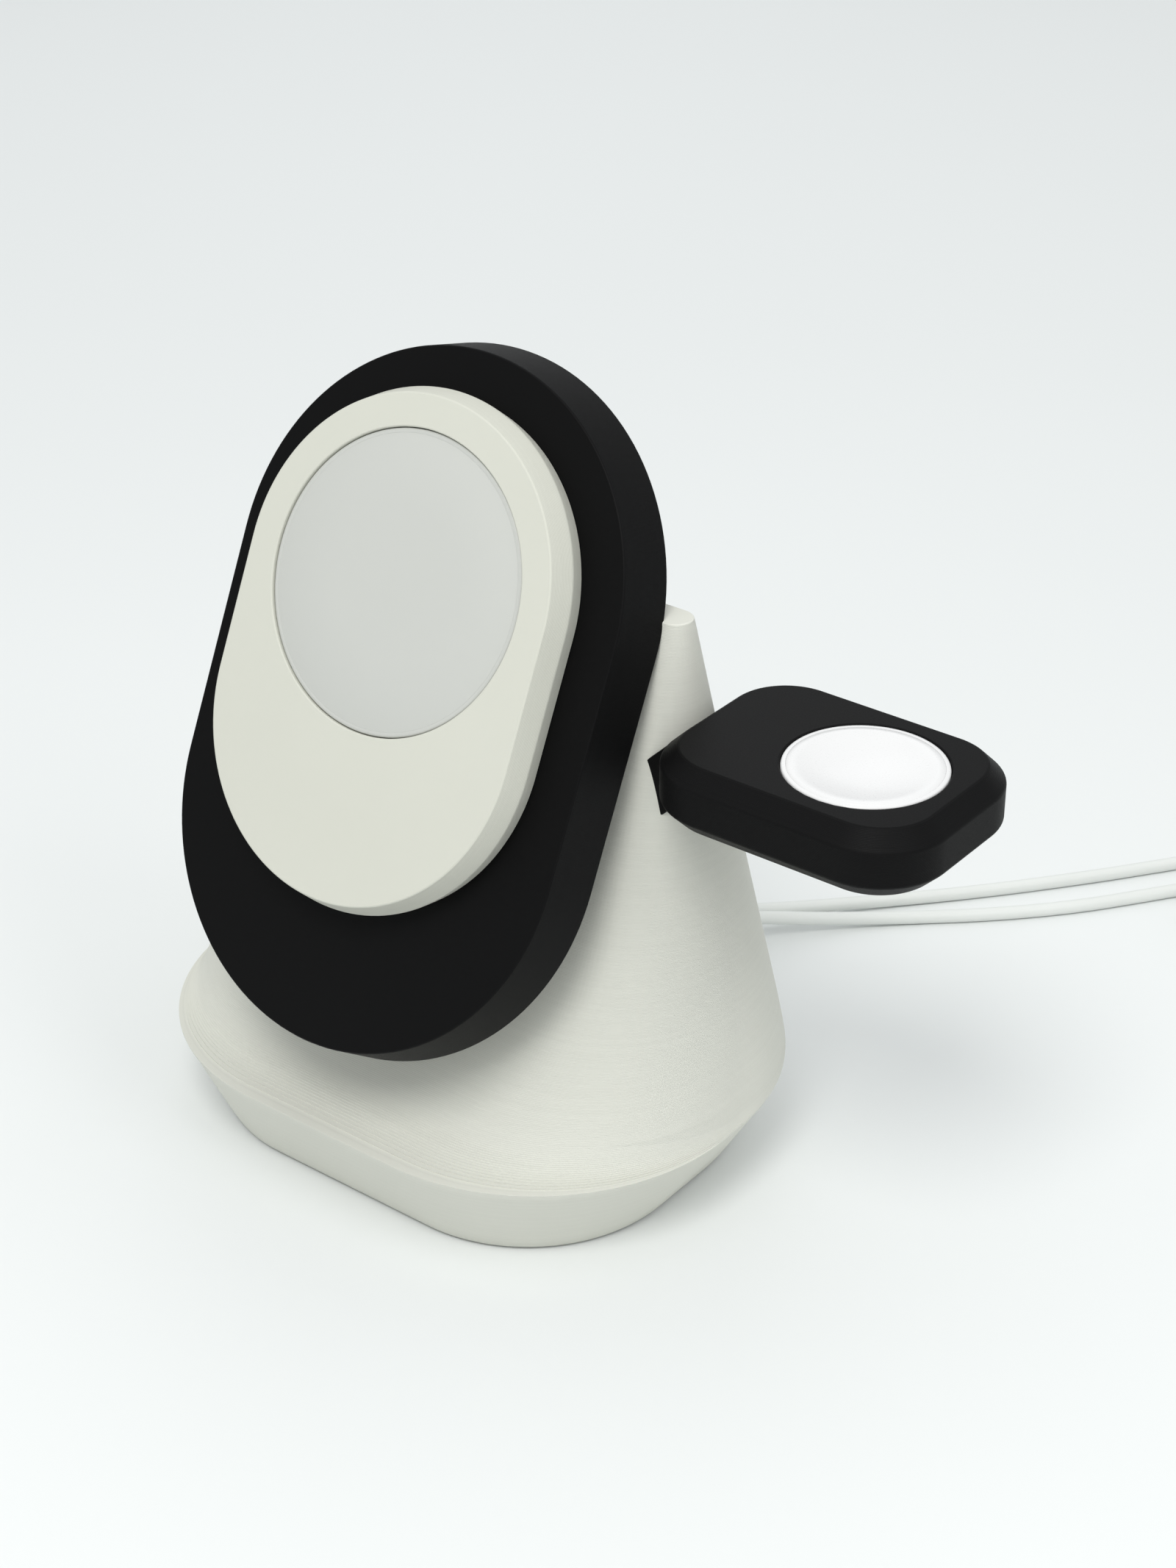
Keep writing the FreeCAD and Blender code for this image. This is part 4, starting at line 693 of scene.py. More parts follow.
def winding_growth():
    """A flat coil of round wire round each point."""
    tree, source, result = new_growth("winding_growth", (
        ("Inner Width", "NodeSocketFloat", 20.0 * MM), ("Outer Width", "NodeSocketFloat", 42.0 * MM),
        ("Wire", "NodeSocketFloat", 1.2 * MM)))
    inner, outer, half = halves(tree, source, "Inner Width", "Outer Width", "Wire")
    turns = math_node(tree, "DIVIDE", math_node(tree, "SUBTRACT", outer, inner), source["Wire"])
    spiral = tree_node(tree, "GeometryNodeCurveSpiral", {
        "Resolution": 64, "Rotations": math_node(tree, "SUBTRACT", turns, 1.0),
        "Start Radius": math_node(tree, "ADD", inner, half),
        "End Radius": math_node(tree, "SUBTRACT", outer, half), "Height": 0.0})
    wire = swept(tree, spiral, ring_curve(tree, 8, math_node(tree, "MULTIPLY", half, 0.97)))
    return end_growth(tree, source, result, on_points(tree, source["Geometry"], wire))


def magnet_growth():
    """A ring of curved flat magnets round the origin."""
    tree, source, result = new_growth("magnet_growth", (
        ("Count", "NodeSocketInt", 16), ("Inner Width", "NodeSocketFloat", 46.0 * MM),
        ("Outer Width", "NodeSocketFloat", 53.2 * MM), ("Thickness", "NodeSocketFloat", 2.4 * MM),
        ("Space", "NodeSocketFloat", math.radians(2.0))))
    inner, outer = halves(tree, source, "Inner Width", "Outer Width")
    middle = math_node(tree, "DIVIDE", math_node(tree, "ADD", inner, outer), 2.0)
    share = math_node(tree, "DIVIDE", 2 * math.pi, source["Count"])
    arc = tree_node(tree, "GeometryNodeCurveArc", {
        "Resolution": 12, "Radius": middle, "Start Angle": 0.0,
        "Sweep Angle": math_node(tree, "SUBTRACT", share, source["Space"])})
    block = tree_node(tree, "GeometryNodeCurvePrimitiveQuadrilateral", {
        "Width": math_node(tree, "SUBTRACT", outer, inner), "Height": source["Thickness"]})
    points = tree_node(tree, "GeometryNodePoints", {"Count": source["Count"]})
    index = tree_node(tree, "GeometryNodeInputIndex", {})
    turn = in_space(tree, z=math_node(tree, "MULTIPLY", index, share))
    return end_growth(tree, source, result, on_points(tree, points, swept(tree, arc, block), Rotation=turn))


def grown(name, tree, finish, values, points=((0.0, 0.0, 0.0),), matrix=Matrix()):
    """The plain mesh that a geometry tree makes from a few points, put in its place."""
    seeds = bpy.data.meshes.new(name + "_points")
    seeds.from_pydata([tuple(p) for p in points], [], [])
    maker = add_object(name + "_maker", seeds)
    grow = maker.modifiers.new("grow", "NODES")
    grow.node_group = tree
    values = dict(values, Material=material(finish))
    for item in tree.interface.items_tree:
        if item.in_out == "INPUT" and item.name in values:
            grow[item.identifier] = values[item.name]
    ready = maker.evaluated_get(bpy.context.evaluated_depsgraph_get())
    mesh = bpy.data.meshes.new_from_object(ready)
    maker.modifiers.remove(grow)
    bpy.data.objects.remove(maker)
    bm = bmesh.new()
    bm.from_mesh(mesh)
    bm.transform(matrix)
    return make_piece(name, bm, finish, angle=35)


# the leads

COIL_TURNS = 5
POINT_TURN = 24.0
# where the coil steps in, out, up twice and down again, in degrees from its start
STEP_IN, STEP_OUT = (300, 345), (1290, 1335)
FIRST_RISE, SECOND_RISE, FALL = (615, 660), (975, 1020), (1605, 1650)


def coil_points(arrival, before, cords):
    """Control points of a neat two-column coil that turns right from the arrival point, and its middle."""
    arrival, before = Vector(arrival), Vector(before)
    way = (arrival - before).normalized()
    middle = arrival + Vector((way.y, -way.x, 0.0)) * cords.coil_radius
    start = math.atan2(arrival.y - middle.y, arrival.x - middle.x)
    end = COIL_TURNS * 360.0 + math.degrees(start) % 360.0
    wide = cords.wide
    outer, inner = cords.coil_radius, cords.coil_radius - wide

    def blend(turn, low, high):
        share = min(1.0, max(0.0, (turn - low) / (high - low)))
        return share * share * (3 - 2 * share)

    points = []
    count = int(end / POINT_TURN)
    for i in range(1, count + 1):
        turn = end * i / count
        radius = outer + (inner - outer) * (blend(turn, *STEP_IN) - blend(turn, *STEP_OUT))
        layer = blend(turn, *FIRST_RISE) + blend(turn, *SECOND_RISE) - blend(turn, *FALL)
        height = wide / 2 + wide * layer
        angle = start - math.radians(turn)
        reach = radius / math.cos(math.radians(POINT_TURN / 2))
        points.append((middle.x + reach * math.cos(angle), middle.y + reach * math.sin(angle), height))
    return points, middle


PHONE_ROUTE = (
    (-3.5, 46.58, 13.0), (-3.5, 58.0, 13.0), (-0.9, 72.0, 9.6), (7.4, 87.0, 4.8), (19.4, 105.5, 1.9),
    (39.4, 127.9, 1.5), (57.6, 150.5, 1.5), (71.4, 169.6, 1.5), (86.6, 190.4, 1.5), (104.0, 212.0, 1.5))
WATCH_ROUTE = (
    (3.5, 46.58, 13.0), (3.5, 58.0, 13.0), (6.2, 71.5, 10.2), (12.2, 84.0, 6.4), (21.0, 97.0, 2.9),
    (33.5, 110.0, 1.5), (48.0, 122.8, 1.5), (61.4, 137.2, 1.5), (71.0, 150.4, 1.5), (79.6, 162.6, 1.5),
    (90.0, 174.0, 1.5))
# (distance in front of the coil's middle, height) in millimetres, on the way to the plug
TAIL = ((4.5, 4.5), (9.0, 3.35), (12.0, 3.25))
PLUG_START, PLUG_LEVEL = 10.0 * MM, 3.25 * MM

# (distance along, half width, half thickness, corner radius) in millimetres
PLUG_GRIP = (
    (7.7, 2.2, 2.2, 2.0), (8.4, 3.4, 2.55, 2.2), (9.0, 4.7, 2.95, 2.2), (9.8, 5.3, 3.16, 2.3),
    (10.8, 5.5, 3.25, 2.4), (28.2, 5.5, 3.25, 2.4), (28.8, 5.35, 3.12, 2.3), (29.0, 5.0, 2.8, 2.1))
PLUG_TIP_OUTSIDE = (4.15, 1.3, 1.25)
PLUG_TIP_INSIDE = (3.85, 1.0, 0.95)
PLUG_TONGUE = (3.0, 0.35, 0.2)


def make_plug(name, x, y, height):
    """A moulded plug that points to the front: ribbed relief, grip and a hollow metal tip."""

    def across(along, half_wide, half_high, radius, steps=8, shrink=(1.0, 1.0)):
        outline = rounded_outline(half_wide * 2 * MM, -half_high * MM, half_high * MM, radius * MM,
                                  steps, straight=2)
        return [(x + u * shrink[0], y - along * MM, height + v * shrink[1]) for u, v in outline]

    forward = Matrix.Translation((x, y, height)) @ Matrix.Rotation(math.pi / 2, 4, "X")
    relief = grown(name + "_relief", rib_growth(), "lead_white", {
        "Ribs": 5, "Length": 8.4 * MM, "Start Width": 3.5 * MM, "End Width": 5.2 * MM,
        "Rib Width": 0.8 * MM}, matrix=forward)
    grip = solid(name + "_grip", [across(*row) for row in PLUG_GRIP], "lead_white", angle=40)
    shell = solid(name + "_tip", [
        across(28.5, *PLUG_TIP_OUTSIDE), across(35.4, *PLUG_TIP_OUTSIDE),
        across(35.6, *PLUG_TIP_OUTSIDE, shrink=(0.985, 0.95)), across(35.6, *PLUG_TIP_INSIDE),
        across(30.0, *PLUG_TIP_INSIDE)], "steel", angle=35)
    blade = solid(name + "_blade", [across(along, *PLUG_TONGUE, steps=4) for along in (30.0, 34.9)],
                  "rubber", angle=35)
    return grip, relief, shell, blade


def make_line(name, points, wide):
    """A round lead through a row of control points."""
    curve = bpy.data.curves.new(name, "CURVE")
    curve.dimensions = "3D"
    curve.bevel_depth = wide / 2
    curve.bevel_resolution = 8
    curve.use_fill_caps = True
    curve.resolution_u = 8
    spline = curve.splines.new("NURBS")
    spline.points.add(len(points) - 1)
    for point, place in zip(spline.points, points):
        point.co = (*place, 1.0)
    spline.order_u = 3
    spline.use_endpoint_u = True
    curve.materials.append(material("lead_white"))
    return add_object(name, curve), spline


class STATION_OT_leads(bpy.types.Operator):
    """Two round white leads from the back of the base, each wound up out of view beside its plug"""
    bl_idname = "station.leads"
    bl_label = "Leads"

    def execute(self, context):
        cords = settings("station_cords")
        for name, route in (("phone", PHONE_ROUTE), ("watch", WATCH_ROUTE)):
            points = [tuple(v * MM for v in p) for p in route]
            turns, middle = coil_points(points[-1], points[-2], cords)
            side = middle.x + cords.coil_radius
            points += turns + [(side, middle.y - ahead * MM, height * MM) for ahead, height in TAIL]
            line, spline = make_line(name + "_lead_line", points, cords.wide)
            pieces = make_plug(name + "_plug", side, middle.y - PLUG_START, PLUG_LEVEL)
            settle(line, name + "_cord", name + "_cord_coil", slot="cord_white")
            settle(pieces[0], name + "_plug", slot="cord_white")
            for piece, slot in zip(pieces[1:], ("cord_white", "steel", "steel")):
                settle(piece, slot=slot)
        return {"FINISHED"}


# stage

CAMERA_PLACE = (0.3220, -0.3801, 0.3578)
CAMERA_BACK = (0.5312, -0.6875, 0.4952)  # from the station towards the camera
CAMERA_ROLL = math.radians(-0.058)
CAMERA_LENS = 68.006


def add_camera():
    """The camera that took the photograph, as fitted to the outlines."""
    back = Vector(CAMERA_BACK).normalized()
    right = Vector((0.0, 0.0, 1.0)).cross(back).normalized()
    turn = Matrix((right, back.cross(right), back)).transposed().to_4x4()
    lens = bpy.data.cameras.new("station_camera")
    lens.sensor_fit = "VERTICAL"
    lens.sensor_height = 36.0
    lens.lens = CAMERA_LENS
    lens.clip_end = 20.0
    camera = add_object("station_camera", lens)
    camera.matrix_world = Matrix.Translation(CAMERA_PLACE) @ turn @ Matrix.Rotation(CAMERA_ROLL, 4, "Z")
    bpy.context.scene.camera = camera


def add_floor(colour):
    reach = 6.0
    mesh = bpy.data.meshes.new("station_floor")
    corners = ((-reach, -reach, 0), (reach, -reach, 0), (reach, reach, 0), (-reach, reach, 0))
    mesh.from_pydata(corners, [], [(0, 1, 2, 3)])
    floor = add_object("station_floor", mesh)
    made, tree, shader, place = new_material("floor_paper")
    noise = noise_node(tree, place, 3.0)
    link(tree, mix_colour(tree, noise, list(colour), toned(colour, 0.97)), shader.inputs["Base Color"])
    shader.inputs["Roughness"].default_value = 0.9
    shader.inputs["Specular IOR Level"].default_value = 0.1
    mesh.materials.append(made)


def add_sky(low, high):
    """Soft light from all round that grows towards straight above."""
    world = bpy.data.worlds.new("station_sky")
    world.use_nodes = True
    sky = world.node_tree
    way = node(sky, "ShaderNodeSeparateXYZ")
    link(sky, node(sky, "ShaderNodeTexCoord").outputs["Generated"], way.inputs[0])
    strength = spread(sky, way.outputs["Z"], 0.0, 1.0, low, high, "LINEAR")
    sky.nodes["Background"].inputs["Color"].default_value = (0.97, 0.99, 1.0, 1.0)
    link(sky, strength, sky.nodes["Background"].inputs["Strength"])
    bpy.context.scene.world = world


def add_lamp(name, place, size, power, tint):
    """A round soft lamp aimed at the middle of the station."""
    data = bpy.data.lights.new(name, "AREA")
    data.shape = "DISK"
    data.size = size
    data.energy = power
    data.color = tint
    lamp = add_object(name, data)
    aim = (Vector((0.0, 0.0, 0.06)) - Vector(place)).to_track_quat("-Z", "Y")
    lamp.matrix_world = Matrix.Translation(place) @ aim.to_matrix().to_4x4()


class STATION_OT_stage(bpy.types.Operator):
    """Pale floor, soft lamps and the camera"""
    bl_idname = "station.stage"
    bl_label = "Stage"

    def execute(self, context):
        stage = settings("station_stage")
        add_camera()
        add_floor(stage.floor)
        add_sky(stage.sky_low, stage.sky_high)
        add_lamp("key_lamp", (0.245, -0.55, 0.93), 0.42, stage.key_power, (1.0, 0.99, 0.97))
        add_lamp("side_lamp", (0.66, -0.1, 0.78), 0.4, stage.side_power, (1.0, 1.0, 0.99))
        add_lamp("back_lamp", (-0.58, 0.76, 0.62), 0.6, stage.back_power, (0.98, 0.99, 1.0))
        context.scene.view_settings.view_transform = "Standard"
        return {"FINISHED"}


# the printed base

def base_section(base, share):
    """Width, front, back and corner radius of the bell at a share of its height."""
    wide = base.rim_wide + (base.ridge_wide - base.rim_wide) * share ** 0.89
    front = -base.rim_deep / 2 + (base.rim_deep / 2 - base.ridge_front) * share ** 0.48
    ridge_back = base.ridge_deep - base.ridge_front
    back = base.rim_deep / 2 + (ridge_back - base.rim_deep / 2) * share ** 0.86
    rim_share = base.rim_round / (base.rim_deep / 2)
    ridge_share = base.ridge_round / (base.ridge_deep / 2)
    radius = (rim_share + (ridge_share - rim_share) * share) * (back - front) / 2
    return wide, front, back, radius


BASE_STEPS = 40
BASE_STRAIGHT = 10
RIM_BREAK = 0.04 * MM
EDGE_BREAK = 0.22 * MM
TERRACES = 20
TERRACE_STEP = 0.5
TERRACE_FADE = 0.9
UPPER_RINGS = 50
UPPER_SPREAD = 1.4


def foot_section(base, share, height, inset=0.0):
    """A ring of the flared foot at a share of the way from the footprint to the rim."""
    foot = (base.foot_wide, -base.foot_deep / 2, base.foot_deep / 2, base.foot_round)
    rim = (base.rim_wide, -base.rim_deep / 2, base.rim_deep / 2, base.rim_round)
    wide, front, back, radius = (a + (b - a) * share for a, b in zip(foot, rim))
    return at_height(rounded_outline(wide - inset * 2, front + inset, back - inset, radius - inset,
                                     BASE_STEPS, straight=BASE_STRAIGHT), height)


def bell_ring(base, share, height, inset=0.0):
    """A ring of the bell at a share of its height, set at a height above the rim."""
    wide, front, back, radius = base_section(base, share)
    return at_height(rounded_outline(
        wide - inset * 2, front + inset, back - inset, radius - inset * 0.9, BASE_STEPS,
        straight=BASE_STRAIGHT), base.rim_high + height)


def base_rings(base):
    """The base from inside the foot, under it, up the flare, over the rim and up to the ridge."""
    wall, seat = 3.0 * MM, 3.6 * MM
    low, rise = base.foot_high, base.rim_high - base.foot_high
    rings = [
        foot_section(base, 0.0, seat, wall), foot_section(base, 0.0, low, wall),
        foot_section(base, 0.0, low, EDGE_BREAK), foot_section(base, 0.0, low + EDGE_BREAK)]
    rings += [foot_section(base, k / 8, low + rise * k / 8) for k in range(1, 8)]
    rings += [foot_section(base, 0.995, base.rim_high - EDGE_BREAK),
              foot_section(base, 1.0, base.rim_high, RIM_BREAK)]
    # the first layers show as terraces that fade as the wall grows steep
    tall = base.ridge_high - base.rim_high
    for k in range(1, TERRACES + 1):
        height = base.layer * k
        step = base.layer * TERRACE_STEP * (1.0 - TERRACE_FADE * k / TERRACES)
        rings += [bell_ring(base, height / tall, height + side) for side in (-step, step)]
    begin = base.layer * TERRACES / tall
    for k in range(1, UPPER_RINGS):
        share = begin + (1.0 - begin) * (k / UPPER_RINGS) ** UPPER_SPREAD
        rings.append(bell_ring(base, share, tall * share))
    return rings + [bell_ring(base, 1.0, tall - EDGE_BREAK), bell_ring(base, 1.0, tall, EDGE_BREAK)]


def boss_rings():
    """The block behind the plate that carries it, on the leaning plate."""
    wide, long, low, high, radius = (v * MM for v in (38.0, 15.0, -50.0, -8.0, 5.0))
    front = settings("station_pucks").phone_sunk - PLATE_BEHIND - settings("station_plate").thick
    outline = rounded_outline(wide, low, high, radius, 8, straight=2)
    return [turned(at_height(outline, depth), lean_matrix()) for depth in (front - long, front)]


class STATION_OT_base(bpy.types.Operator):
    """Printed base: small flared foot, sharp rim and a bell that rises to a thin ridge"""
    bl_idname = "station.base"
    bl_label = "Base"

    def execute(self, context):
        body = solid("base_body", base_rings(settings("station_base")), "printed_white", angle=28)
        settle(body, "base_shell", slot="printed_white")
        settle(solid("plate_boss", boss_rings(), "printed_white", bevel=0.3 * MM), slot="printed_white")
        return {"FINISHED"}


# the leaning plate

PLATE_STEPS = 72
BELLY_BEHIND = 4.7 * MM


def plate_rings(levels, drop, matrix):
    """Stadium rings of (width, local height), placed on the leaning plate."""
    return [turned(at_height(stadium_outline(wide, drop, PLATE_STEPS), height), matrix)
            for wide, height in levels]


class STATION_OT_plate(bpy.types.Operator):
    """Black leaning housing and the white carrier of the phone puck in front of it"""
    bl_idname = "station.plate"
    bl_label = "Leaning plate"

    def execute(self, context):
        plate, pucks = settings("station_plate"), settings("station_pucks")
        matrix = lean_matrix()
        front = pucks.phone_sunk - PLATE_BEHIND
        back = front - plate.thick
        housing = solid("plate_housing", plate_rings(
            ((plate.back_wide, back), (plate.front_wide, front)), plate.drop, matrix),
            "printed_black", bevel=0.35 * MM, segments=3)
        settle(housing, "pad_housing", slot="printed_black")

        seat = pucks.phone_wide / 2 + SEAT_GAP
        belly = pucks.phone_sunk - BELLY_BEHIND
        face = pucks.phone_sunk
        rings = plate_rings(
            ((plate.white_back, front), (plate.white_belly, belly), (plate.white_wide, face)),
            plate.white_drop, matrix)
        # the face is a ring of quads between the outline and the puck's seat
        circle = facing_circle(stadium_outline(plate.white_wide, plate.white_drop, PLATE_STEPS), seat)
        rim, floor = (turned(at_height(circle, height), matrix) for height in (face, -pucks.phone_thick))
        carrier = sunk_solid("puck_carrier_body", rings, rim, floor, "carrier_white",
                             bevel=0.3 * MM, segments=3)
        settle(carrier, "puck_carrier", slot="plate_white")
        return {"FINISHED"}


def lathe(out, rows, level=0.0):
    """Radius and height from rows of (inset from the outer radius, height) in millimetres."""
    return [(out - inset * MM, level + height * MM) for inset, height in rows]


def turned_piece(name, profile, matrix, finish, steps=128):
    """A turned piece whose first and last rings are closed by flat faces."""
    turns = [2 * math.pi * k / steps for k in range(steps)]
    rings = [turned([(r * math.cos(t), r * math.sin(t), height) for t in turns], matrix)
             for r, height in profile]
    return solid(name, rings, finish, angle=50)


class STATION_OT_phone_puck(bpy.types.Operator):
    """Round magnetic phone puck: a thin metal cup round a soft pale face"""
    bl_idname = "station.phone_puck"
    bl_label = "Phone puck"

    def execute(self, context):
        pucks = settings("station_pucks")
        matrix = lean_matrix()
        out, thick = pucks.phone_wide / 2, pucks.phone_thick
        case = turned_piece(
            "phone_puck_cup",
            lathe(out, ((1.4, 0.0), (0.7, 0.15), (0.15, 0.7), (0.0, 1.4)), -thick)
            + lathe(out, ((0.0, -0.35), (0.1, -0.1), (0.32, 0.0), (0.87, 0.0), (0.9, -0.01), (0.9, -1.4))),
            matrix, "puck_rim")
        settle(case, "phone_puck_case", slot="puck_metal")
        face = turned_piece(
            "phone_puck_pad", lathe(out, ((0.91, -0.9), (0.91, -0.01), (0.94, 0.0))) + [(out * 0.5, 0.0)],
            matrix, "puck_face")
        settle(face, "phone_puck_face", slot="puck_face_grey")
        return {"FINISHED"}


# the watch arm

def arm_slab(arm, pucks, puck_x, mid_y):
    """The bevelled slab with the puck's seat in its top."""
    mid_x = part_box("watch_arm")[1][0] - arm.long / 2
    low = arm.top - arm.thick

    def slab(inset):
        return rounded_outline(
            arm.long - inset * 2, mid_y - arm.deep / 2 + inset, mid_y + arm.deep / 2 - inset,
            arm.corner - inset, 24, mid_x, straight=8)

    levels = ((arm.bevel, low), (0.0, low + arm.bevel), (0.0, arm.top - arm.bevel), (arm.bevel, arm.top))
    rings = [at_height(slab(inset), height) for inset, height in levels]
    circle = facing_circle(slab(arm.bevel), pucks.watch_wide / 2 + SEAT_GAP, puck_x, mid_y)
    rim, floor = (at_height(circle, height) for height in (arm.top, arm.top - pucks.watch_thick))
    return sunk_solid("arm_slab", rings, rim, floor, "arm_black", bevel=0.4 * MM, segments=3, angle=25)


def arm_neck(arm):
    """The neck, drawn from the front, from inside the flank to inside the slab."""
    start, end, root_low, neck_low, root_high, neck_high = (
        v * MM for v in (40.0, 59.0, 49.4, 87.3, 46.3, 98.0))
    front, back = -5.7 * MM, 13.3 * MM
    low, high = arm.top - arm.thick, arm.top - arm.bevel
    outline = [
        (start, neck_low), (root_low, neck_low), (root_low + low - neck_low, low), (end, low), (end, high),
        (root_high + high - neck_high, high), (root_high, neck_high), (start, neck_high)]
    return solid("arm_neck", [[(x, y, z) for x, z in outline] for y in (back, front)],
                 "arm_black", bevel=0.3 * MM, angle=20)


def dish_profile(pucks, out):
    """The watch puck's face: a flat ring round a shallow ball-shaped dish."""
    dish, deep = pucks.dish_wide / 2, pucks.dish_deep
    ball = (dish ** 2 + deep ** 2) / (2 * deep)
    profile = lathe(out, ((0.91, -2.0), (0.91, -0.08), (0.98, 0.0))) + [(dish + 0.25 * MM, 0.0)]
    for k in range(1, 17):
        reach = dish * (1 - k / 17)
        profile.append((reach, ball - deep - math.sqrt(ball ** 2 - reach ** 2)))
    return profile


class STATION_OT_watch_arm(bpy.types.Operator):
    """Black side arm: a bevelled slab on a neck that rises from the base's flank"""
    bl_idname = "station.watch_arm"
    bl_label = "Watch arm"

    def execute(self, context):
        arm, pucks = settings("station_arm"), settings("station_pucks")
        mid_y = sum(corner[1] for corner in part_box("watch_arm")) / 2
        puck_x = sum(corner[0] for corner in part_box("watch_puck_case")) / 2
        settle(arm_slab(arm, pucks, puck_x, mid_y), "watch_arm", slot="printed_black")
        settle(arm_neck(arm), slot="printed_black")
        place = Matrix.Translation((puck_x, mid_y, arm.top))
        out = pucks.watch_wide / 2
        case = turned_piece(
            "watch_puck_cup",
            lathe(out, ((1.0, 0.0), (0.0, 1.0)), -pucks.watch_thick)
            + lathe(out, ((0.0, -0.4), (0.1, -0.12), (0.35, 0.0), (0.85, 0.0), (0.9, -0.06), (0.9, -2.0))),
            place, "watch_white")
        settle(case, "watch_puck_case", slot="puck_white")
        face = turned_piece("watch_puck_dish", dish_profile(pucks, out), place, "watch_white")
        settle(face, "watch_puck_face", slot="puck_white")
        return {"FINISHED"}


# screws, windings, magnets and the mat

# name, places in millimetres, seat, shank length, heads below the seat, on the leaning plate
SCREWS = (
    ("cover_screws", ((43.9, 0.0), (-43.9, 0.0), (0.0, 31.89), (0.0, -31.89)), 2.8, 5.3, True, False),
    ("clamp_screws", ((9.5, 32.5), (-9.5, 32.5)), 17.1, 10.2, False, False),
    ("arm_screws", ((41.5, -2.6), (41.5, 10.2)), 83.8, 8.5, True, False),
    ("pad_screws", ((13.0, -15.0), (-13.0, -15.0), (13.0, -32.0), (-13.0, -32.0)), -10.4, 19.8, False, True),
    ("carrier_screws", ((25.0, -34.0), (-25.0, -34.0)), -17.0, 13.3, True, True))


class STATION_OT_screws(bpy.types.Operator):
    """Every screw, from one geometry tree"""
    bl_idname = "station.screws"
    bl_label = "Screws"

    def execute(self, context):
        tree = screw_growth()
        for name, places, seat, shank, down, leaning in SCREWS:
            flip = Matrix.Rotation(math.pi, 4, "X") if down else Matrix()
            matrix = (lean_matrix() if leaning else Matrix()) @ flip
            points = [flip @ Vector((x * MM, y * MM, seat * MM)) for x, y in places]
            screws = grown(name + "_cut", tree, "steel", {"Shank Length": shank * MM}, points, matrix)
            settle(screws, name, slot="steel")
        return {"FINISHED"}


class STATION_OT_inner_parts(bpy.types.Operator):
    """Wound coils and the ring of magnets, each from a geometry tree"""
    bl_idname = "station.inner_parts"
    bl_label = "Coils and magnets"

    def execute(self, context):
        winding = winding_growth()
        lean = lean_matrix()
        low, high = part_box("watch_coil")
        level = Matrix.Translation(((low[0] + high[0]) / 2, (low[1] + high[1]) / 2, (low[2] + high[2]) / 2))
        back = -settings("station_pucks").phone_thick
        coil_middle, magnet_middle = back + 2.9 * MM, back + 2.0 * MM
        phone = grown("phone_winding", winding, "copper", {
            "Inner Width": 20.0 * MM, "Outer Width": 42.0 * MM, "Wire": 1.2 * MM},
            matrix=lean @ Matrix.Translation((0.0, 0.0, coil_middle)))
        settle(phone, "phone_coil", slot="copper")
        watch = grown("watch_winding", winding, "copper", {
            "Inner Width": 12.0 * MM, "Outer Width": 24.0 * MM, "Wire": 1.5 * MM}, matrix=level)
        settle(watch, "watch_coil", slot="copper")
        ring = grown("phone_magnet_ring", magnet_growth(), "magnet", {},
                     matrix=lean @ Matrix.Translation((0.0, 0.0, magnet_middle)))
        settle(ring, "phone_magnets", slot="magnet")
        return {"FINISHED"}


class STATION_OT_mat(bpy.types.Operator):
    """Rubber mat under the base, with low dots from a geometry tree"""
    bl_idname = "station.mat"
    bl_label = "Mat"

    def execute(self, context):
        low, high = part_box("base_mat")
        wide, deep = high[0] - low[0], high[1] - low[1]
        dot_high, sunk, margin, corner = 0.35 * MM, 0.05 * MM, 2.0 * MM, 12.0 * MM
        outline = rounded_outline(wide, low[1], high[1], corner, 16, straight=2)
        rings = [at_height(outline, dot_high), at_height(outline, high[2])]
        settle(solid("mat_pad", rings, "rubber", bevel=0.2 * MM), "base_mat", slot="rubber_black")
        level = Matrix.Translation((0.0, 0.0, dot_high + sunk)) @ Matrix.Rotation(math.pi, 4, "X")
        field = grown("mat_dots", dot_growth(), "rubber", {
            "Width": wide - margin * 2, "Depth": deep - margin * 2, "Corner": corner - margin,
            "Dot Height": dot_high + sunk}, matrix=level)
        settle(field, slot="rubber_black")
        return {"FINISHED"}


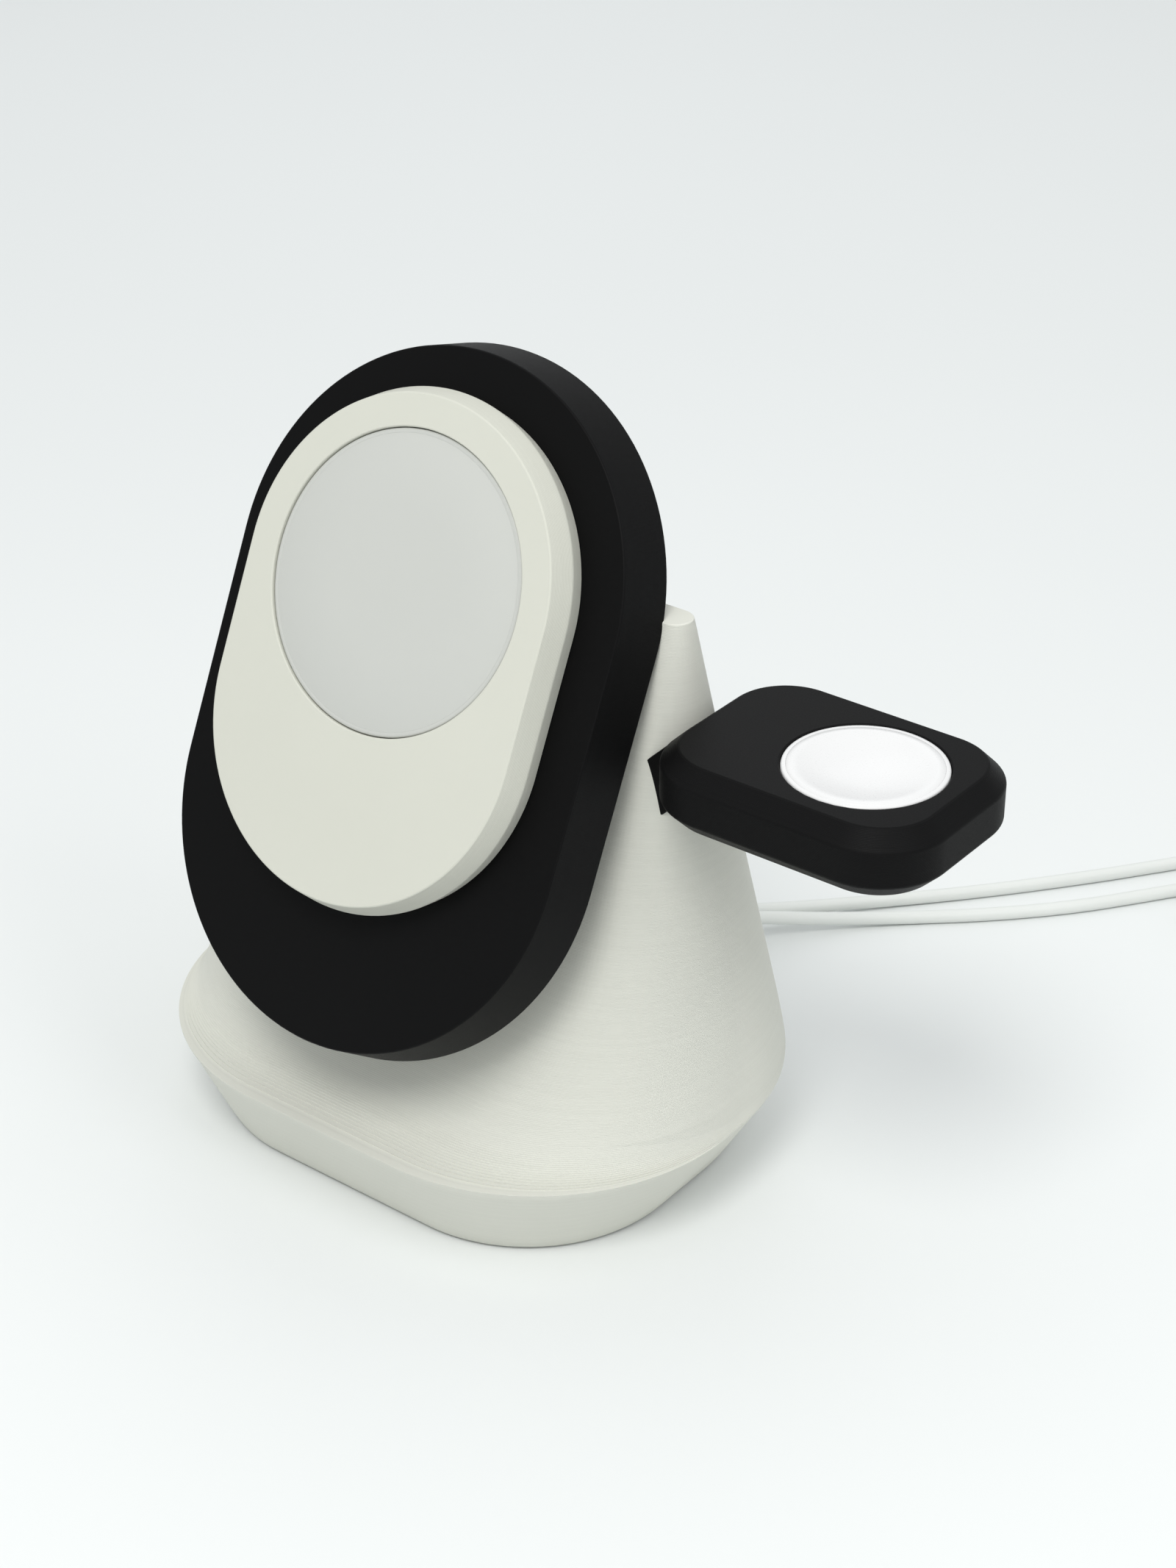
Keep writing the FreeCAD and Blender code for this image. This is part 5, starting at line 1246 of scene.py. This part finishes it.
# what the CAD model already gives in the right shape

CARRIED = {
    "base_cover": "printed_white", "ballast_plate": "steel", "cord_clamp": "printed_white",
    "phone_grommet": "grommet", "watch_grommet": "grommet", "phone_ferrite": "ferrite",
    "phone_board": "board", "phone_strain_relief": "lead_white", "phone_lead": "lead_white",
    "arm_cover": "arm_black", "watch_magnet": "magnet", "watch_board": "board",
    "watch_strain_relief": "lead_white", "watch_lead": "lead_white"}


class STATION_OT_finishes(bpy.types.Operator):
    """Finishes for the pieces that come straight from the solid model"""
    bl_idname = "station.finishes"
    bl_label = "Finishes"

    def execute(self, context):
        for name, finish in CARRIED.items():
            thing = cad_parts[name]
            thing.data.materials.clear()
            thing.data.materials.append(material(finish))
        return {"FINISHED"}


STEPS = (
    STATION_OT_stage, STATION_OT_leads, STATION_OT_base, STATION_OT_plate, STATION_OT_phone_puck,
    STATION_OT_watch_arm, STATION_OT_screws, STATION_OT_inner_parts, STATION_OT_mat, STATION_OT_finishes)


class STATION_PT_panel(bpy.types.Panel):
    """Every piece of the station, in the order it is made"""
    bl_label = "Charging station"
    bl_space_type = "VIEW_3D"
    bl_region_type = "UI"
    bl_category = "Station"

    def draw(self, context):
        for name, group in GROUPS:
            box = self.layout.box()
            box.label(text=name.replace("_", " "))
            for prop in group.__annotations__:
                box.prop(getattr(context.scene, name), prop)
        for step in STEPS:
            self.layout.operator(step.bl_idname)


def register():
    for name, group in GROUPS:
        bpy.utils.register_class(group)
        setattr(bpy.types.Scene, name, bpy.props.PointerProperty(type=group))
    for step in STEPS:
        bpy.utils.register_class(step)
    bpy.utils.register_class(STATION_PT_panel)


def unregister():
    bpy.utils.unregister_class(STATION_PT_panel)
    for step in reversed(STEPS):
        bpy.utils.unregister_class(step)
    for name, group in reversed(GROUPS):
        delattr(bpy.types.Scene, name)
        bpy.utils.unregister_class(group)


def main():
    register()
    for step in STEPS:
        area, action = step.bl_idname.split(".")
        getattr(getattr(bpy.ops, area), action)()


if __name__ == "__main__":
    main()
